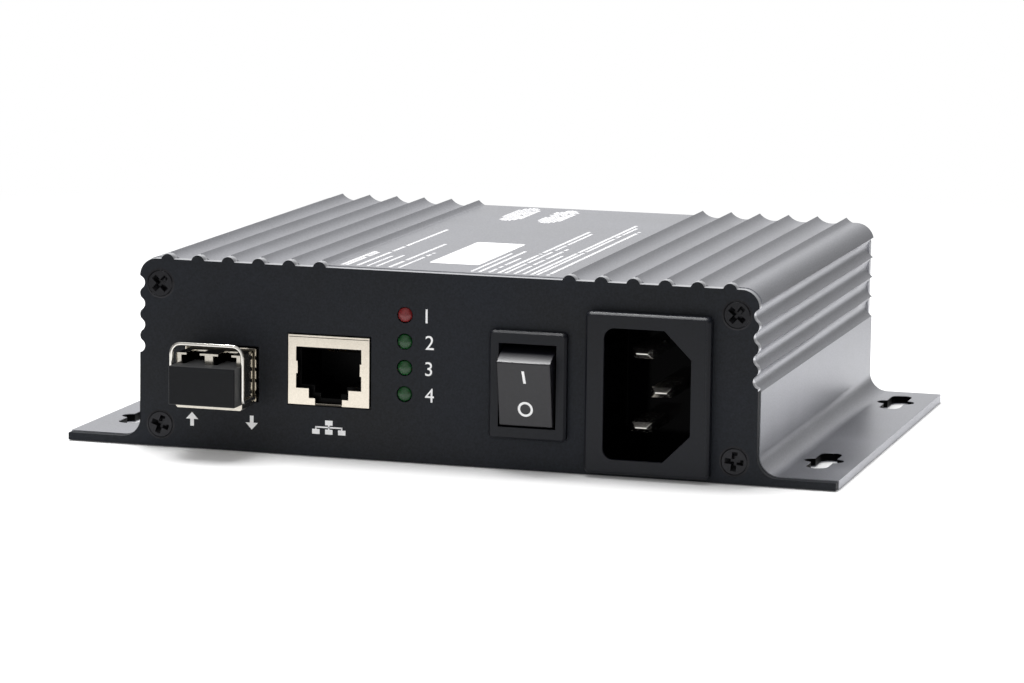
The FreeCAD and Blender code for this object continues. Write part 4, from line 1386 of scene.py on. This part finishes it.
@dataclass
class Trim:
    """Painted dark reflection on the transceiver's nose, folds of the shield and painted shade in
    the gaps of the spring collar.

    Lengths are in millimetres.

    Attributes:
        film: Half width of the sheet of painted reflection, the Y where it starts and ends, and its
            thickness.
        slot: Half the spread of the two latch slots, half a slot's width and its end.
        fold: Distance of the upper fold below the shield's top, its height, and how much
            narrower it is than the shield.
        lip: Half width of the lip under the notch, its height, and its distance above the
            shield's foot.
        gaps: Middle of each gap between the collar's fingers above the collar's foot.
        gap: Width and height of a gap, and how far it goes past the collar's side.
    """

    film: tuple[float, float, float, float] = (6.3, -59.15, -53.3, 0.03)
    slot: Triple = (3.2, 1.45, -54.75)
    fold: Triple = (0.42, 0.13, 0.3)
    lip: Triple = (2.62, 0.2, 0.04)
    gaps: tuple[float, ...] = (1.8, 4.0, 6.2, 8.4)
    gap: Triple = (0.22, 0.7, 0.01)

    def nose_film(self) -> None:
        """Lay the sheet of painted dark reflection on the nose, cut out round both latch slots."""
        low, high = ends(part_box("transceiver_body"), MM)
        middle = (low.x + high.x) / 2
        half, front, back, thick = self.film
        spread, gap, end = self.slot
        outline = [(middle - half, front)]
        for side in (-1, 1):
            left, right = middle + side * spread - gap, middle + side * spread + gap
            outline += [(left, front), (left, end), (right, end), (right, front)]
        outline += [(middle + half, front), (middle + half, back), (middle - half, back)]
        film = Stencil("nose_film", Vector((0, 0, high.z * MM)), BACK, thick)
        film.shape(outline)
        film.finish(NOSE_PAINTED_REFLECTION, "transceiver")

    def folds(self) -> None:
        """Draw the two dull folds on the shield's face."""
        low, high = ends(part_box("jack_shield"), MM)
        middle = (low.x + high.x) / 2
        fold = Stencil("shield_folds", Vector((0, low.y * MM, 0)))
        depth, height, less = self.fold
        fold.bar(middle, high.z - depth, high.x - low.x - less, height)
        half, rise, foot = self.lip
        fold.bar(middle, low.z + rise / 2 + foot, 2 * half, rise)
        fold.finish(SEAM, "case")

    def finger_gap_shade(self) -> None:
        """Carry the gaps between the collar's fingers round to its front edge, as dark bars of
        painted shade.
        """
        low, high = ends(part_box("cage_collar"), MM)
        width, height, past = self.gap
        # Dark bars of painted shade where the gaps show the dark inside of the cage
        dark = Stencil("collar_gaps", Vector((0, low.y * MM, 0)))
        for x in (low.x + width / 2 - past, high.x - width / 2 + past):
            for rise in self.gaps:
                dark.bar(x, low.z + rise, width, height)
        dark.finish(INSERT, "case")

    def build(self) -> None:
        """Add every piece of trim."""
        self.nose_film()
        self.folds()
        self.finger_gap_shade()


@dataclass
class RockerMarks:
    """Plain bar and ring moulded white into the rocker's face.

    Lengths are in millimetres.

    Attributes:
        tilt: Lean of the rocker's face at rest, in degrees.
        top: Y of the face's top, seen from the front plate's face, and its height.
        middle_x: X of the rocker's middle.
        bar: From the face's top down to the bar's middle.
        bar_half: Half the length of the bar.
        bar_left: X of the bar's left edge at its foot and at its head.
        bar_width: Width of the bar.
        ring: From the face's top down to the ring's middle.
        ring_x: X of the ring's middle.
        radii: Outer and inner radius of the ring.
    """

    tilt: float = 10.3
    top: Pair = (-4.29, 21.12)
    middle_x: float = 17.1
    bar: float = 2.72
    bar_half: float = 1.2
    bar_left: Pair = (-0.08, -0.38)
    bar_width: float = 0.5
    ring: float = 9.02
    ring_x: float = 0.1
    radii: Pair = (1.47, 1.02)

    def build(self) -> None:
        """Print the two marks on the leaning face."""
        lean = radians(self.tilt)
        upward = Vector((0, -sin(lean), cos(lean)))
        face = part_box("front_plate")[0][1]
        depth, height = self.top
        origin = Vector((self.middle_x * MM, face + depth * MM, height * MM))
        marks = Stencil("rocker_marks", origin, upward)
        foot, head = -self.bar - self.bar_half, -self.bar + self.bar_half
        low, high = self.bar_left
        width = self.bar_width
        marks.shape([(low, foot), (low + width, foot), (high + width, head), (high, head)])
        marks.ring(self.ring_x, -self.ring, *self.radii)
        marks.finish(INK, "rocker")


@dataclass
class TopPrint:
    """Pale print on the flat top: a blank sticker and rows of plain dashes.

    Lengths are in millimetres.

    Attributes:
        lip: Depth of the flat below the housing's top.
        sticker: Left, front, right and back of the sticker.
        corner: Radius of its corners.
        front: Where every row of dashes starts.
        rows: X, width and back of each row.
        blots: Middle of each oval block of short rows.
        blot: Half the width and half the length of a block.
        blot_rows: Rows from a block's middle to its side.
        narrow: Width of a block's rows.
        pitch: From one dash to the next.
        film: Thickness of a dash and of the sticker.
        missing: Share of the dashes that are missing.
        dash: Shortest and longest dash, as shares of the pitch.
    """

    lip: float = 1.0
    sticker: tuple[float, float, float, float] = (-6.8, 12.3, 3.2, 44.5)
    corner: float = 1.0
    front: float = 4.3
    rows: tuple[Triple, ...] = (
        (-21.3, 0.75, 23.6), (-20.4, 0.75, 22.4), (-18.2, 0.7, 60.0), (-16.2, 0.6, 18.0),
        (-14.4, 0.6, 20.0), (-11.8, 0.7, 38.6), (-9.9, 0.6, 25.5), (4.4, 0.6, 30.0),
        (6.0, 0.7, 34.0), (7.9, 0.6, 24.0), (9.8, 0.7, 67.0), (11.1, 0.6, 64.0),
        (12.9, 0.6, 40.0), (14.6, 0.6, 30.0), (16.2, 0.7, 80.0), (17.3, 0.6, 76.0),
        (19.3, 0.7, 72.0),
    )
    blots: tuple[Pair, ...] = ((-11.6, 90.0), (-2.9, 89.0))
    blot: Pair = (2.9, 10.5)
    blot_rows: int = 4
    narrow: float = 0.6
    pitch: float = 1.25
    film: Pair = (0.04, 0.06)
    missing: float = 0.05
    dash: Pair = (0.7, 0.92)

    def tree(self) -> NodeTree:
        """Geometry tree that lays dashes of ink along each seed edge."""
        tree, start = geometry_tree("ink_dashes", {"Pitch": "Float", "Film": "Float"})
        seed, pitch, film = (start.outputs[name] for name in ("Seed", "Pitch", "Film"))
        line = add(tree, "MeshToCurve", seed)
        points = add(tree, "CurveToPoints", {"Curve": line, "Length": pitch}, mode="LENGTH")
        rare = {"Probability": self.missing, "Seed": 7}
        chance = add(tree, "RandomValue", rare, data_type="BOOLEAN")
        bare = {"Geometry": points, "Selection": chance}
        kept = add(tree, "DeleteGeometry", bare, domain="POINT")
        short, long = self.dash
        share = {"Min": short, "Max": long, "Seed": 11}
        spread = add(tree, "RandomValue", share, data_type="FLOAT")
        length = add(tree, "Math", spread, pitch, operation="MULTIPLY")
        width = add(tree, "InputNamedAttribute", {"Name": "width"}, data_type="FLOAT")
        size = add(tree, "CombineXYZ", width, length, film)
        dash = add(tree, "MeshCube", (1.0, 1.0, 1.0))
        laid = add(tree, "InstanceOnPoints", {"Points": kept, "Instance": dash, "Scale": size})
        end_tree(tree, start, laid)
        return tree

    def label(self, origin: Vector) -> None:
        """Lay the sticker, with round corners.

        Args:
            origin: Point of the flat over the front plate's face, in metres.
        """
        label = Stencil("blank_sticker", origin, BACK, self.film[1])
        left, near, right, far = self.sticker
        radius = self.corner
        outline = []
        for x, y, turn in (
            (right - radius, near + radius, -90),
            (right - radius, far - radius, 0),
            (left + radius, far - radius, 90),
            (left + radius, near + radius, 180),
        ):
            for step in CORNER_STEPS:
                angle = radians(turn + step)
                outline.append((x + radius * cos(angle), y + radius * sin(angle)))
        label.shape(outline)
        label.finish(STICKER, "case")

    def build(self) -> None:
        """Lay the rows and the sticker on the flat."""
        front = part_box("front_plate")[0][1]
        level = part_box("housing")[1][2] - self.lip * MM
        spots, runs, widths = [], [], []
        half, reach = self.blot
        rows = [(x, width, self.front, back) for x, width, back in self.rows]
        for x, y in self.blots:
            for step in range(1 - self.blot_rows, self.blot_rows):
                long = reach * sqrt(1 - (step / self.blot_rows) ** 2)
                place = x + step * half / self.blot_rows
                rows.append((place, self.narrow, y - long, y + long))
        for x, width, *places in rows:
            runs.append((len(spots), len(spots) + 1))
            spots += [(x * MM, front + y * MM, level) for y in places]
            widths += [width * MM] * 2
        ink = TOP_INK.material()
        values = {"Pitch": self.pitch * MM, "Film": self.film[0] * MM, "Finish": ink}
        mesh = grow("top_print", self.tree(), spots, values, {"width": widths}, runs)
        new_piece("top_print", mesh, ink, "case")
        self.label(Vector((0, front, level)))


def main() -> None:
    """Build the studio and every sub-assembly in order."""
    logging.basicConfig(level=logging.INFO, format="%(message)s")
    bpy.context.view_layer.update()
    Camera().build()
    studio = Studio()
    studio.build()
    for part in (Body, Screws, Lamps, Bail, PanelPrint, Trim, RockerMarks, TopPrint):
        part().build()
    studio.accent(("switch_rocker", "switch_body", "inlet_body", "bail_wire", "case_screws"))


if __name__ == "__main__":
    main()
